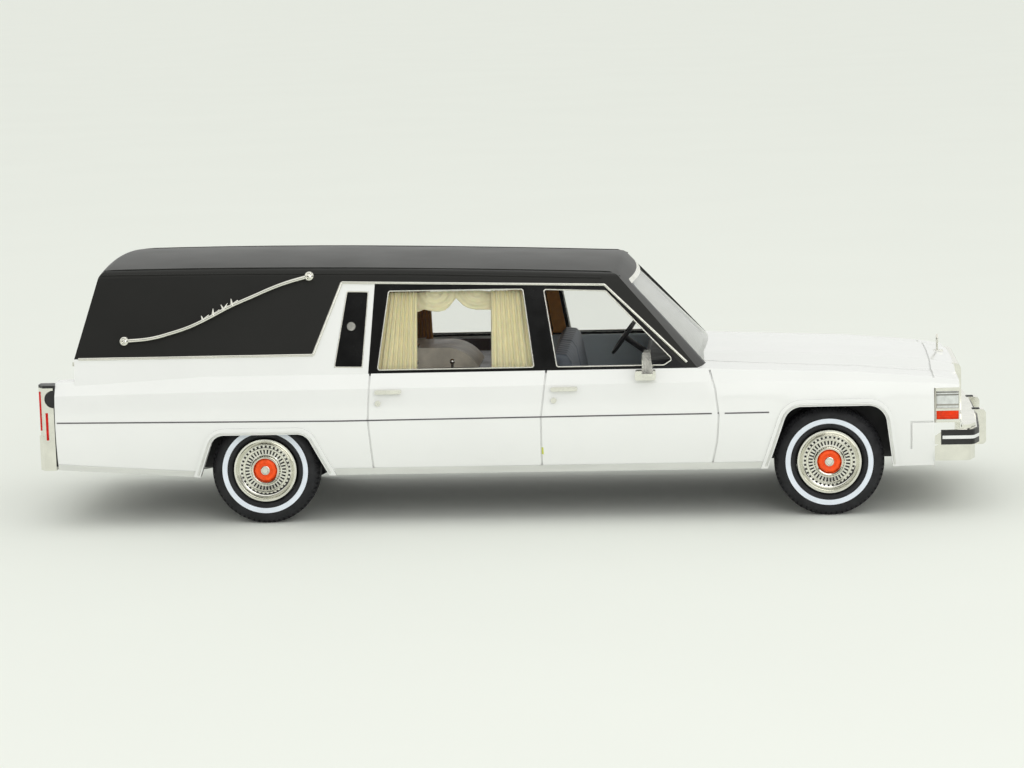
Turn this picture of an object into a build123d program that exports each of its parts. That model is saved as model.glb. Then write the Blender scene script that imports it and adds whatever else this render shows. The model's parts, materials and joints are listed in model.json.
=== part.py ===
"""Collector's scale model (1:43) of an early 1980s landau hearse, in millimetres.

The model points along +X, its right side is -Y and its tyres stand on Z = 0.
The origin is on the ground, midway between the two bumpers.
A cast body shell and a landau roof sit on a base plate that carries two turning wheel sets.
"""
import os
from math import atan2, cos, degrees, hypot, pi, radians, sin

from build123d import *

os.makedirs("parts", exist_ok=True)

# Overall sizes
wheelbase = 85.3
front_overhang = 24.35
rear_overhang = 34.85
overall_length = wheelbase + front_overhang + rear_overhang
nose_x = overall_length / 2
tail_x = -overall_length / 2
front_axle_x = nose_x - front_overhang
rear_axle_x = front_axle_x - wheelbase
track = 36.4

# Body section: half widths and heights of its corner lines
sill_half, sill_z = 21.0, 7.5
waist_half, waist_z = 22.5, 15.0
shoulder_half, shoulder_z = 22.1, 20.7
belt_half, belt_z = 20.9, 22.9
ridge_half, ridge_z = 16.9, 38.6
wall = 1.2
far_below = -5.0
far_above = 50.0

# Lower body stations, each measured from an axle or an end of the body
fin_end_x = tail_x + 3.3
fin_depth = 2.1
back_x = fin_end_x + fin_depth
header_x = nose_x - 5.0
seam_x = header_x - 3.8
cowl_x = front_axle_x - 18.5
taper_x = rear_axle_x - 8.0
tail_share = 0.995

# Greenhouse: lines seen from the side
landau_belt_z = 25.8
back_lean_x = 4.2
back_lean_z = 13.0
back_bow = 1.0
windshield_foot_side_x = front_axle_x - 19.5
windshield_bow = 3.1
windshield_foot_z = belt_z + 0.5
pillar_width = 3.7
rear_window_width, rear_window_height = 22.0, 7.6
windshield_rake = 0.909
windshield_centre_rake = 1.03
roof_crown = 1.0
roof_edge_radius = 1.5
# Roof stations: x, height of the roof at its centre line
roof_line = [
    (back_x - 8.0, 39.45),
    (rear_axle_x - 18.0, 39.7),
    (rear_axle_x + 12.0, 39.35),
    (front_axle_x - 50.0, 38.6),
    (front_axle_x - 33.0, 37.9),
    (front_axle_x, 35.9),
]

# Running gear
tyre_radius = 8.25
tyre_width = 4.7
bead_radius = 5.0
wheel_radius = 4.95
cap_radius = 1.8
axle_radius = 0.75
axle_clearance = 0.05
axle_z = tyre_radius
tyre_centre_y = track / 2

# Front end: grille, lamps and bumper
grille_half, grille_low, grille_top = 9.4, 14.0, 21.2
lamp_half_out = sill_half * 0.955 + 0.55
lamp_low, lamp_top = 13.95, 19.3
lamp_back_x = header_x - 3.8
lamp_front_x = header_x + 0.05
grille_back_x = header_x - 2.2
grille_front_x = header_x + 1.1
bumper_low, bumper_top = 8.3, 13.7
bumper_side_x = lamp_back_x + 0.1
bumper_half = lamp_half_out + 0.9
rub_low, rub_top = 10.8, 13.0
bumper_front_x = nose_x - 1.3

# Rear end: bumper and upright lamp housings
tail_half = bumper_half - 0.1
tail_low, tail_high = 8.9, 22.0
tail_width = 3.0
rear_bumper_top = 14.2
gasket = 0.35

# Base plate and interior levels
plate_bottom_z = 7.9
plate_top_z = 8.9
tail_plate_rise = 1.4
fit_gap = 0.15
deck_z = 21.4
table_z = 24.5
table_half = 5.4
shelf_z = 17.4
floor_z = 9.6
panel_top_z = 22.9
partition_x = rear_axle_x + 38.5
well_reach = tyre_radius + 2.1
well_inner_y = tyre_centre_y - 3.6
sheet = 0.8

# Glass and applied trim
glass_thickness = 0.5
trim_proud = 0.2
strip_proud = 0.3
edge_width = 0.22
plinth_hole_spacing = 60.0
plinth_hole_radius = 0.9
groove_width = 0.28
groove_depth = 0.3


# Helpers

def side_face(points):
    """A face in the side view, from (x, z) points."""
    return Plane.XZ * make_face(Polyline(*points, close=True))


def side_prism(face, y_low, y_high):
    """A side view face drawn across from y_low to y_high."""
    return Pos(0, y_high, 0) * extrude(face, y_high - y_low)


def across(face):
    """A side view face drawn right across the model."""
    return side_prism(face, -40, 40)


def right_half(shape):
    """The part of a shape on the model's right side."""
    return shape & Pos(0, -50, 0) * Box(400, 100, 200)


def both_sides(shape):
    """A right-hand shape and its mirror image, as separate solids."""
    return Compound(children=[*shape.solids(), *mirror(shape, Plane.XZ).solids()])


def save(name, *shapes):
    """Writes one named piece."""
    solids = [solid for shape in shapes for solid in shape.solids()]
    piece = solids[0] if len(solids) == 1 else Compound(children=solids)
    piece.label = name
    export_step(piece, f"parts/{name}.step")
    return piece


# Body surfaces, each drawn at a chosen inset from the outer skin

# Lower body stations: x, share of full width, shoulder z, belt z, hood edge half width and z,
# bulge half width and z, centre z
body_stations = [
    (fin_end_x, tail_share, 20.4, 22.4, 15.0, 22.4, 9.0, 22.5, 22.7),
    (taper_x, 1.0, 20.7, 22.9, 15.0, 23.0, 9.0, 23.2, 23.4),
    (cowl_x, 1.0, 20.9, 22.8, 15.5, 23.1, 11.4, 24.1, 24.5),
    (front_axle_x + 4.0, 0.99, 20.7, 21.9, 14.5, 22.0, 10.5, 23.1, 23.5),
    (seam_x, 0.968, 20.1, 20.9, 13.2, 21.0, 9.9, 22.0, 22.4),
    (header_x, 0.95, 19.7, 20.3, 12.6, 20.4, 9.6, 21.1, 21.3),
]


def body_section(station, inset, floor):
    """One cross-section of the lower body, closed at the height floor."""
    x, share, shoulder, belt, edge_half, edge_z, bulge_half, bulge_z, centre_z = station
    foot = (sill_half * share - inset, floor)
    sill = (sill_half * share - inset, sill_z)
    waist = (waist_half * share - inset, waist_z)
    crease = (shoulder_half * share - inset, shoulder)
    crest = (belt_half * share - inset, belt - inset)
    edge = (edge_half, edge_z - inset)
    bulge = (bulge_half, bulge_z - inset)
    centre = (0, centre_z - inset)
    left = [foot, sill, waist, crease, crest, edge, bulge]
    right = [(-y, z) for y, z in left]
    outline = Wire(
        [
            Line(left[0], left[1]),
            ThreePointArc(left[1], left[2], left[3]),
            Line(left[3], left[4]),
            Line(left[4], left[5]),
            Line(left[5], left[6]),
            ThreePointArc(left[6], centre, right[6]),
            Line(right[6], right[5]),
            Line(right[5], right[4]),
            Line(right[4], right[3]),
            ThreePointArc(right[3], right[2], right[1]),
            Line(right[1], right[0]),
            Line(right[0], left[0]),
        ]
    )
    return Plane.YZ.offset(x) * Face(outline)


def lower_form(inset=0.0, end_inset=None, floor=None):
    """The body below the windows, from the fins to the header panel."""
    end_inset = inset if end_inset is None else end_inset
    floor = sill_z - 1.0 if floor is None else floor
    rows = [list(row) for row in body_stations]
    rows[0][0] += end_inset
    rows[-1][0] -= end_inset
    return loft([body_section(row, inset, floor) for row in rows], ruled=True)


def windshield_block(inset):
    """All that lies behind the windshield's outer face."""
    faces = []
    reach = belt_half + 5.0
    for z in (10.0, 42.0):
        rise = z - windshield_foot_z
        side = windshield_foot_side_x - windshield_rake * rise - inset * 1.4
        centre = windshield_foot_side_x + windshield_bow - windshield_centre_rake * rise - inset * 1.4
        tip = centre - (centre - side) * (reach / 19.5) ** 2
        outline = Curve() + [
            Line((-200, -reach), (tip, -reach)),
            ThreePointArc((tip, -reach), (centre, 0), (tip, reach)),
            Line((tip, reach), (-200, reach)),
            Line((-200, reach), (-200, -reach)),
        ]
        faces.append(Pos(0, 0, z) * make_face(outline))
    return loft(faces, ruled=True)


def roof_block(inset):
    """All that lies under the crowned roof."""
    faces = []
    for x, top in roof_line:
        reach = 25.0
        edge_z = top - roof_crown * (reach / ridge_half) ** 2
        outline = Curve() + [
            Line((-reach, 0), (-reach, edge_z - inset)),
            ThreePointArc((-reach, edge_z - inset), (0, top - inset), (reach, edge_z - inset)),
            Line((reach, edge_z - inset), (reach, 0)),
            Line((reach, 0), (-reach, 0)),
        ]
        faces.append(Plane.YZ.offset(x) * make_face(outline))
    return loft(faces)


def back_block(inset):
    """All that lies ahead of the raked, slightly bowed back."""
    reach = belt_half + 1.5
    start = back_x + inset
    side = start + back_bow
    plan = make_face(
        Curve()
        + [
            Line((100, -reach), (side, -reach)),
            ThreePointArc((side, -reach), (start, 0), (side, reach)),
            Line((side, reach), (100, reach)),
            Line((100, reach), (100, -reach)),
        ]
    )
    lower = extrude(Pos(0, 0, far_below) * plan, landau_belt_z - far_below)
    upper = extrude(
        Pos(0, 0, landau_belt_z) * plan,
        hypot(back_lean_x, back_lean_z) * 2,
        dir=(back_lean_x, 0, back_lean_z),
    )
    return lower + upper


def greenhouse_form(inset=0.0):
    """The cabin above the belt, with leaning sides, a crowned roof and a raked back and front."""
    lean = (belt_half - ridge_half) / (ridge_z - belt_z)
    low_z, high_z = shoulder_z - 1.5, 44.0
    if inset > 0:
        low_z = waist_z - 1.0
    middle_half = belt_half - inset
    low_half = middle_half + lean * (belt_z - low_z)
    high_half = middle_half + lean * (belt_z - high_z)
    corners = [(-low_half, low_z), (low_half, low_z), (high_half, high_z), (-high_half, high_z)]
    sides = extrude(Plane.YZ.offset(-90) * make_face(Polyline(*corners, close=True)), 150)
    cabin = sides & roof_block(inset) & back_block(inset) & windshield_block(inset)
    radius = roof_edge_radius - inset * 0.9
    if radius < 0.3:
        return cabin
    top = [edge for edge in cabin.edges() if edge.center().Z > 36 and edge.center().X < windshield_foot_side_x]
    return fillet(top, radius)


# Side view outlines, from (distance from an axle, height) points

def from_rear(points):
    """A side view face measured from the rear axle."""
    return side_face([(rear_axle_x + x, z) for x, z in points])


def from_front(points):
    """A side view face measured from the front axle."""
    return side_face([(front_axle_x + x, z) for x, z in points])


drip_back = (rear_axle_x + 12.35, ridge_z - 2.2)
drip_front = (front_axle_x - 33.2, ridge_z - 3.3)
pillar_foot = (rear_axle_x + 7.95, landau_belt_z)
door_back_foot = (rear_axle_x + 16.3, belt_z)
door_back_top = (rear_axle_x + 17.4, drip_back[1] - 0.13)
screen_foot = (front_axle_x - 21.3, belt_z)

glass_low = belt_z + 0.4
glass_high = ridge_z - 3.5
opera_outline = [
    (11.15, belt_z + 1.0),
    (15.45, belt_z + 0.9),
    (16.45, glass_high - 0.1),
    (13.15, glass_high),
]
rear_window_outline = [(17.6, glass_low), (41.5, glass_low), (39.9, glass_high - 0.1), (19.4, glass_high)]
front_window_outline = [
    (-40.6, glass_low),
    (-24.4, glass_low),
    (-23.0, glass_low + 0.9),
    (-33.0, glass_high - 0.6),
    (-42.5, glass_high - 0.2),
]


def rear_window_face():
    """The rear door's window opening in the side view."""
    return fillet(from_rear(rear_window_outline).vertices(), 0.4)


def front_window_face():
    """The front door's window opening in the side view."""
    return fillet(from_front(front_window_outline).vertices(), 0.4)


def body_region():
    """Side view region where the cabin wall belongs to the white body."""
    return across(
        side_face(
            [
                (-100, far_below),
                (100, far_below),
                (100, belt_z),
                screen_foot,
                door_back_foot,
                door_back_top,
                drip_back,
                pillar_foot,
                (-100, landau_belt_z),
            ]
        )
    )


def door_region():
    """Side view region of the two door window frames."""
    return across(side_face([door_back_foot, screen_foot, drip_front, door_back_top]))


def arch_face(points, radius, grow=0.0):
    """A wheel arch opening in the side view."""
    face = side_face(points)
    top = face.vertices().sort_by(Axis.Z)[-2:]
    face = fillet(top, radius)
    return offset(face, grow, kind=Kind.ARC) if grow else face


def arch_faces(grow=0.0):
    """The rear and front wheel arch openings."""
    x, low = rear_axle_x, sill_z - 3.5
    rear = arch_face([(x - 11.2, low), (x - 7.3, 14.1), (x + 6.7, 14.1), (x + 11.6, low)], 2.2, grow)
    x = front_axle_x
    front = arch_face([(x - 10.4, low), (x - 6.0, 17.0), (x + 8.2, 17.0), (x + 9.9, low)], 2.8, grow)
    return rear, front


def skin(inset, depth):
    """A layer of the lower body's side between two insets."""
    return lower_form(inset, 0.0) - lower_form(inset + depth, -1.0, far_below)


def cabin_layer(inset, depth):
    """A layer of the cabin wall between two insets."""
    return greenhouse_form(inset) - greenhouse_form(inset + depth)


def side_walls_only(shape):
    """Keeps what lies near the cabin's sides."""
    return shape - Box(400, 26, 200)


def sill_line():
    """All that lies above the body's lower edge."""
    x = rear_axle_x
    return across(
        side_face([(-100, 9.0), (x - 32, 9.0), (x - 10, 7.5), (100, 7.5), (100, far_above), (-100, far_above)])
    )


def grooves():
    """Shut lines cut into the body's right side and hood."""
    x, f = rear_axle_x, front_axle_x
    lines = [
        [(x + 16.6, belt_z), (x + 16.2, 16.0), (x + 16.8, 7.0)],
        [(x + 43.2, belt_z), (x + 42.3, 16.0), (x + 42.2, 7.0)],
        [(f - 17.6, 22.4), (f - 16.9, 20.0), (f - 16.4, 16.0), (f - 16.7, 12.0), (f - 17.8, 7.0)],
        [(lamp_back_x - 3.4, 10.3), (lamp_back_x - 3.4, 14.3), (lamp_back_x - 0.3, 14.3)],
    ]
    cut = None
    for points in lines:
        piece = across(strip(points, groove_width))
        cut = piece if cut is None else cut + piece
    band = lower_form(-1.0, -2.0, 0.0) - lower_form(groove_depth, -3.0, far_below)
    sides = band & cut
    hood = f - 18.5
    seams = Pos((hood + seam_x) / 2, 15.2, 24) * Box(seam_x - hood, groove_width, 8)
    seams += mirror(seams, Plane.XZ)
    seams += Pos(seam_x, 0, 24) * Box(groove_width, 41.0, 8)
    top = (lower_form(-1.0, -2.0, 0.0) - lower_form(groove_depth, -3.0, far_below)) & seams
    return sides + top


# Body and roof

def front_notch(grow=0.0):
    """Space for the lamps and the bumper ends, ahead of the fenders."""
    lamps = Pos(lamp_back_x + 10 - grow, 0, lamp_top - 20 + grow) * Box(20, 60, 40)
    centre = Pos(grille_back_x + 10 - grow, 0, grille_top - 10 + grow)
    return lamps + centre * Box(20, 2 * (grille_half + grow), 20)


def door_recess(grow=0.0):
    """Space between the fins, behind the loading door."""
    half = bumper_half - 3.5 + grow
    low = rear_bumper_top - 1.0 - grow
    space = Pos(tail_x, 0, low + 15) * Box(30, 2 * half, 30)
    return space - back_block(grow)


def load_door_lines():
    """Shut line of the loading door, cut into the back."""
    low, high = rear_bumper_top + 0.6, ridge_z - 2.4
    width = 1.72 * ridge_half
    outline = RectangleRounded(width, high - low, 1.6)
    ring = outline - RectangleRounded(width - 2 * groove_width, high - low - 2 * groove_width, 1.6 - groove_width)
    prism = Pos(tail_x - 5, 0, 0) * extrude(Plane.YZ * Pos(0, (low + high) / 2, 0) * ring, 25)
    return prism & (back_block(-1.0) - back_block(groove_depth))


def make_body():
    """White cast shell with its pillars, arches, shut lines and hollow inside."""
    cabin = greenhouse_form()
    outer = lower_form() + (cabin & body_region()) - door_recess()
    inner = lower_form(wall, floor=far_below) + greenhouse_form(wall)
    inner -= front_notch(wall) + door_recess(wall)
    shell = outer - inner
    for face, flare in zip(arch_faces(), arch_faces(1.0)):
        shell += (lower_form(-0.3, 0.0) - lower_form(0.3, -0.5, far_below)) & across(flare)
        shell -= across(face)
    shell = shell & sill_line()
    shell -= side_walls_only(across(from_rear(opera_outline)))
    shell -= grooves()
    shell -= load_door_lines()
    shell -= front_notch()
    return shell.solids().sort_by(SortBy.VOLUME)[-1]


def make_roof():
    """Black landau roof with its quarters, back frame, header and windshield pillars."""
    shell = cabin_layer(0.0, wall)
    roof = shell - body_region() - door_region() - lower_form(0.0, -0.5)
    roof -= screen_prism() + back_prism()
    roof -= load_door_lines()
    return roof.solids().sort_by(SortBy.VOLUME)[-1]


def make_lining():
    """Cloth lining of the roof and of the cabin's upper sides, open at the windows."""
    layer = greenhouse_form(wall + 0.15) - greenhouse_form(wall + 0.55)
    foot, top = screen_foot[0] - 3.0, drip_front[0] - 2.0
    behind_screen = [(-100, glass_low), (foot, glass_low), (top, drip_front[1]), (top - 3.0, far_above)]
    layer &= across(side_face([*behind_screen, (-100, far_above)]))
    layer -= across(offset(rear_window_face(), 0.5, kind=Kind.INTERSECTION))
    layer -= across(offset(front_window_face(), 0.5, kind=Kind.INTERSECTION))
    layer -= back_prism(0.3) + lower_form(0.0, -0.5)
    return layer.solids().sort_by(SortBy.VOLUME)[-1]


def cabin_half(z):
    """Half width of the cabin at a height."""
    return belt_half - (belt_half - ridge_half) / (ridge_z - belt_z) * (z - belt_z)


def screen_prism(grow=0.0):
    """The windshield opening, drawn along X."""
    low, high = shoulder_z - 0.7, ridge_z - 3.0 + grow
    low_half = cabin_half(low) - pillar_width + grow
    high_half = cabin_half(high) - pillar_width + grow
    face = make_face(
        Polyline((-low_half, low), (low_half, low), (high_half, high), (-high_half, high), close=True)
    )
    top = face.vertices().sort_by(Axis.Y)[-2:]
    face = fillet(top, 1.6)
    return extrude(Plane.YZ.offset(partition_x + 7) * face, 40)


def back_prism(grow=0.0):
    """The rear window opening, drawn along X."""
    face = RectangleRounded(rear_window_width + 2 * grow, rear_window_height + 2 * grow, 1.4)
    height = (landau_belt_z + ridge_z) / 2 - 0.6
    return Pos(tail_x + 2, 0, 0) * extrude(Plane.YZ * Pos(0, height, 0) * face, 20)


def make_door_frames():
    """Black frames around the door windows on both sides."""
    band = cabin_layer(0.0, wall) & door_region()
    band = side_walls_only(band) - lower_form(0.0, -0.5)
    band -= across(rear_window_face()) + across(front_window_face())
    return band


def make_side_glass(outline_face):
    """Glass filling one window opening on both sides."""
    return side_walls_only(cabin_layer(0.35, glass_thickness) & across(outline_face))


def make_window_edges():
    """Bright edges inside the door window openings."""
    layer = side_walls_only(cabin_layer(0.0, 0.35))
    rings = None
    for face in (rear_window_face(), front_window_face()):
        ring = layer & across(face) - across(offset(face, -edge_width, kind=Kind.INTERSECTION))
        rings = ring if rings is None else rings + ring
    return rings


# Wheels

def tyre_profile():
    """Half section of a tyre in (radius, y) with rounded shoulders."""
    half = tyre_width / 2
    face = make_face(
        Polyline(
            (bead_radius, -half + 0.5),
            (bead_radius + 0.6, -half + 0.05),
            (6.6, -half),
            (7.5, -half + 0.25),
            (tyre_radius - 0.1, -half + 0.75),
            (tyre_radius, -half + 1.1),
            (tyre_radius, half - 1.1),
            (tyre_radius - 0.1, half - 0.75),
            (7.5, half - 0.25),
            (6.6, half),
            (bead_radius + 0.6, half - 0.05),
            (bead_radius, half - 0.5),
            close=True,
        )
    )
    return face


def make_tyre():
    """One tyre centred on the origin, its axis along Y."""
    return revolve(Plane.XY * tyre_profile(), Axis.Y)


def make_wheel():
    """Right-hand wheel cover and hub, centred on the tyre, outer face towards -Y."""
    half = tyre_width / 2
    profile = make_face(
        Polyline(
            (0, -half + 0.6),
            (cap_radius, -half + 0.6),
            (cap_radius + 0.3, -half + 0.1),
            (2.4, -half + 0.1),
            (2.7, -half + 0.35),
            (3.9, -half + 0.55),
            (4.2, -half + 0.2),
            (wheel_radius - 0.25, -half + 0.2),
            (wheel_radius, -half + 0.55),
            (wheel_radius, -half + 2.2),
            (2.2, -half + 2.2),
            (2.2, half - 0.6),
            (axle_radius, half - 0.6),
            (axle_radius, -half + 1.8),
            (0, -half + 1.8),
            close=True,
        )
    )
    wheel = revolve(profile, Axis.Y)
    for angle in range(0, 360, 15):
        wheel -= Rot(0, angle, 0) * Pos(3.3, -half + 0.2, 0) * Box(0.9, 1.0, 0.3)
    return wheel


def make_cap():
    """Right-hand centre cap, seated in the wheel cover."""
    half = tyre_width / 2
    disc = extrude(RegularPolygon(cap_radius - 0.05, 10), 0.5) + extrude(Circle(0.7), 0.7)
    return Pos(0, -half + 0.6, 0) * Rot(90, 0, 0) * disc


def place_pair(shape, x):
    """A right-hand wheel piece at its axle, with its mirror image on the left."""
    right = Pos(x, -tyre_centre_y, axle_z) * shape
    return Compound(children=[*right.solids(), *mirror(right, Plane.XZ).solids()])


def make_axle(x):
    """Through axle between two wheels."""
    reach = tyre_centre_y + tyre_width / 2 - 1.8
    return Pos(x, 0, axle_z) * Rot(90, 0, 0) * Cylinder(axle_radius, 2 * reach)


# Base plate and interior

def wheel_wells(x, top):
    """Two housings over one axle's wheels, open below and outwards."""
    height = top - plate_bottom_z
    centre = (top + plate_bottom_z) / 2
    outer = Pos(x, well_inner_y + 4.6, centre) * Box(2 * well_reach + 1.2, 10.4, height)
    inner = Pos(x, well_inner_y + 10, centre - 0.5) * Box(2 * well_reach, 20, height)
    well = outer - inner
    return well + mirror(well, Plane.XZ)


def make_base():
    """Black base plate with axle saddles, moulded frame rails and driveline, and plinth screw holes."""
    half = sill_half * 0.955 - wall - fit_gap
    front = lamp_back_x - wall - fit_gap
    back = fin_end_x + wall + fit_gap
    step = rear_axle_x - 11.5
    height = plate_top_z - plate_bottom_z
    middle_z = (plate_top_z + plate_bottom_z) / 2
    plate = Pos((front + step) / 2, 0, middle_z) * Box(front - step, 2 * half, height)
    tail = Pos((back + step) / 2, 0, middle_z + tail_plate_rise) * Box(step - back + 0.02, 2 * half, height)
    riser = Pos(step, 0, middle_z + tail_plate_rise / 2) * Box(1.0, 2 * half, height + tail_plate_rise)
    plate += tail + riser
    rail_z = plate_bottom_z - 0.4
    for side in (-1, 1):
        rail = Pos((front + step) / 2 - 2, side * 9.0, rail_z) * Box(front - step - 8, 1.4, 0.8)
        plate += rail
    bays = None
    for x in (front_axle_x, rear_axle_x):
        bay = Pos(x, well_inner_y + 7, axle_z) * Box(2 * well_reach, 14, 20)
        bays = bay if bays is None else bays + bay
    plate -= bays
    plate -= mirror(bays, Plane.XZ)
    inside = lower_form(wall + fit_gap, floor=far_below)
    for x, top in ((front_axle_x, shelf_z + 0.9), (rear_axle_x, shelf_z - 0.1)):
        plate += wheel_wells(x, top) & inside
    for x in (front_axle_x, rear_axle_x):
        low, high = axle_z - axle_radius - 0.7, axle_z + axle_radius + 0.7
        for side in (-1, 1):
            plate += Pos(x, side * 10.4, (low + high) / 2) * Box(3.4, 4.4, high - low)
        plate -= Pos(x, 0, axle_z) * Box(3.0, 15.0, 2 * axle_radius + 1.0)
    shaft_z = plate_bottom_z - 0.2
    shaft_length = wheelbase - 34.0
    shaft = Pos((front_axle_x + rear_axle_x) / 2 - 4, 0, shaft_z) * Rot(0, 90, 0) * Cylinder(0.6, shaft_length)
    tank = Pos(rear_axle_x - 20.5, 0, plate_bottom_z + 0.8) * Box(12.0, 16.0, 1.6)
    tank = fillet(tank.edges().filter_by(Axis.Z), 1.5)
    gearbox = Pos(front_axle_x - 14.0, 0, shaft_z) * Rot(0, 90, 0) * Cone(1.2, 2.0, 10.0)
    sump = Pos(front_axle_x - 3.5, 0, plate_bottom_z - 0.3) * Box(8.0, 6.4, 0.8)
    plate += shaft + tank + gearbox + sump
    plate -= Pos(front_axle_x, 0, axle_z) * Rot(90, 0, 0) * Cylinder(axle_radius + axle_clearance, 60)
    plate -= Pos(rear_axle_x, 0, axle_z) * Rot(90, 0, 0) * Cylinder(axle_radius + axle_clearance, 60)
    for x in (-plinth_hole_spacing / 2, plinth_hole_spacing / 2):
        boss = Pos(x, 0, plate_bottom_z) * Cylinder(plinth_hole_radius + 0.9, 1.4)
        plate += boss
    for x in (-plinth_hole_spacing / 2, plinth_hole_spacing / 2):
        plate -= Pos(x, 0, plate_bottom_z) * Cylinder(plinth_hole_radius, 8)
    return plate


def make_exhaust():
    """Bright exhaust pipe along the underside, ending at a tail pipe behind the rear wheel."""
    z = plate_bottom_z - 0.5
    line = FilletPolyline(
        (front_axle_x - 9.0, -5.2, z),
        (rear_axle_x + 8.0, -5.2, z),
        (rear_axle_x + 2.0, -5.2, z - 1.1),
        (rear_axle_x - 6.0, -5.2, z),
        (rear_axle_x - 11.0, -12.5, z + 0.2),
        (tail_x + 4.5, -12.5, z + 0.2),
        radius=2.0,
    )
    start = Plane(origin=line @ 0, z_dir=line % 0)
    pipe = sweep(start * Circle(0.45), path=line)
    silencer = Pos(rear_axle_x + 22.0, -5.2, z - 0.35) * Rot(0, 90, 0) * Cylinder(0.85, 16.0)
    return pipe + silencer - make_base()


def make_tub():
    """Floor and door panels of the front cabin."""
    front = front_axle_x - 21.0
    back = partition_x
    half = sill_half - wall - 0.6
    middle = (front + back) / 2
    height = panel_top_z - floor_z
    centre_z = (floor_z + panel_top_z) / 2
    tub = Pos(middle, 0, centre_z) * Box(front - back, 2 * half, height)
    tub -= Pos(middle, 0, centre_z + sheet) * Box(front - back - 2 * sheet, 2 * half - 2 * sheet, height)
    return tub - Pos(back, 0, panel_top_z) * Box(4.0, 60, 6.0)


def make_deck():
    """Raised load floor with a rounded front, and side shelves with their lining boards."""
    back = back_x + wall + back_bow + 0.3
    front = partition_x - 0.1
    half = 13.0
    top = deck_z
    low = deck_z - 5.0
    profile = make_face(
        Curve()
        + [
            Line((back, top), (front - 5.0, top)),
            ThreePointArc((front - 5.0, top), (front - 1.47, top - 1.47), (front, low)),
            Line((front, low), (front - sheet, low)),
            ThreePointArc((front - sheet, low), (front - 2.03, top - 2.03), (front - 5.0, top - sheet)),
            Line((front - 5.0, top - sheet), (back, top - sheet)),
            Line((back, top - sheet), (back, top)),
        ]
    )
    deck = side_prism(Plane.XZ * profile, -half, half)
    for side in (-1, 1):
        length = front - back
        shelf = Pos((front + back) / 2, side * (half + 2.5), shelf_z + sheet / 2) * Box(length, 6.6, sheet)
        board_half = sill_half * 0.955 - wall - 0.6
        shelf += Pos((front + back) / 2, side * board_half, (shelf_z + belt_z) / 2) * Box(
            length, 0.7, belt_z - 0.4 - shelf_z
        )
        wall_piece = Pos((front - 5.0 + back) / 2, side * (half - sheet / 2), (shelf_z + top) / 2) * Box(
            length - 5.0, sheet, top - shelf_z
        )
        deck += shelf + wall_piece
    return deck


# Trim on the cabin's sides

cabin_lean = (belt_half - ridge_half) / (ridge_z - belt_z)
lean_angle = degrees(atan2(belt_half - ridge_half, ridge_z - belt_z))


def on_side(x, z, lift=0.0):
    """Place on the right cabin side, its local X forward, Y up the side and Z outwards."""
    half = belt_half - cabin_lean * (z - belt_z)
    plane = Plane(
        origin=(x, -half, z),
        x_dir=(1, 0, 0),
        z_dir=(0, -cos(radians(lean_angle)), sin(radians(lean_angle))),
    )
    return plane.offset(lift)


def strip(points, width):
    """A band of constant width along a line in the side view."""
    band = None
    for (x0, z0), (x1, z1) in zip(points, points[1:]):
        reach = hypot(x1 - x0, z1 - z0)
        dx, dz = (x1 - x0) / reach, (z1 - z0) / reach
        h = width / 2
        x0, z0, x1, z1 = x0 - dx * h, z0 - dz * h, x1 + dx * h, z1 + dz * h
        corners = [
            (x0 - dz * h, z0 + dx * h),
            (x1 - dz * h, z1 + dx * h),
            (x1 + dz * h, z1 - dx * h),
            (x0 + dz * h, z0 - dx * h),
        ]
        piece = side_face(corners)
        band = piece if band is None else band + piece
    return band


def make_mouldings():
    """Bright strips along the landau belt, the white pillar, the drip rail and the windshield pillar."""
    path = [
        (back_x + 1.5, landau_belt_z),
        pillar_foot,
        drip_back,
        drip_front,
        (screen_foot[0] + 0.3, belt_z + 0.8),
    ]
    layer = greenhouse_form(-trim_proud) - greenhouse_form(0.0)
    band = side_walls_only(layer & across(strip(path, 0.4)))
    return band - lower_form(-0.05, -0.5)


landau_line = [
    (-21.0, 28.25),
    (-16.5, 28.5),
    (-13.06, 29.4),
    (-9.56, 31.0),
    (-6.76, 32.7),
    (-3.96, 34.0),
    (-0.83, 35.3),
    (1.94, 36.6),
    (4.36, 37.2),
    (7.66, 37.55),
]
landau_bar_radius = 0.32
landau_knob_radius = 0.75
landau_lift = 0.62


def landau_path():
    """Centre line of a landau bar and the place on the cabin side that it is drawn on."""
    first_x, first_z = landau_line[0]
    base = on_side(rear_axle_x + first_x, landau_belt_z + 2.45, 0.0)
    slope = cos(radians(lean_angle))
    flat = [(x - first_x, (z - first_z) / slope, landau_lift) for x, z in landau_line]
    return base, Spline(*flat)


def make_landau_bars():
    """S-shaped bars on the landau quarters with a round boss at each end and leaves at the middle."""
    base, path = landau_path()
    start = Plane(origin=path @ 0, z_dir=path % 0)
    bar = sweep(start * Circle(landau_bar_radius), path=path)
    for share in (0, 1):
        spot = path @ share
        bar += Pos(spot.X, spot.Y, -0.6) * extrude(Circle(landau_knob_radius), 1.65)
    for share, size in ((0.40, 0.5), (0.44, 0.62), (0.48, 0.7), (0.52, 0.66), (0.56, 0.5)):
        spot = path @ share
        leaf = Pos(spot.X, spot.Y + 0.15, 0) * Rot(0, 0, 55) * extrude(Ellipse(size, 0.42), 1.0)
        bar += leaf
    placed = base * bar
    placed -= greenhouse_form(0.0)
    return both_sides(placed.solids().sort_by(SortBy.VOLUME)[-1])


def make_opera_panels():
    """Black inserts in the white pillars."""
    return side_walls_only(cabin_layer(0.15, 0.8) & across(from_rear(opera_outline)))


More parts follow.
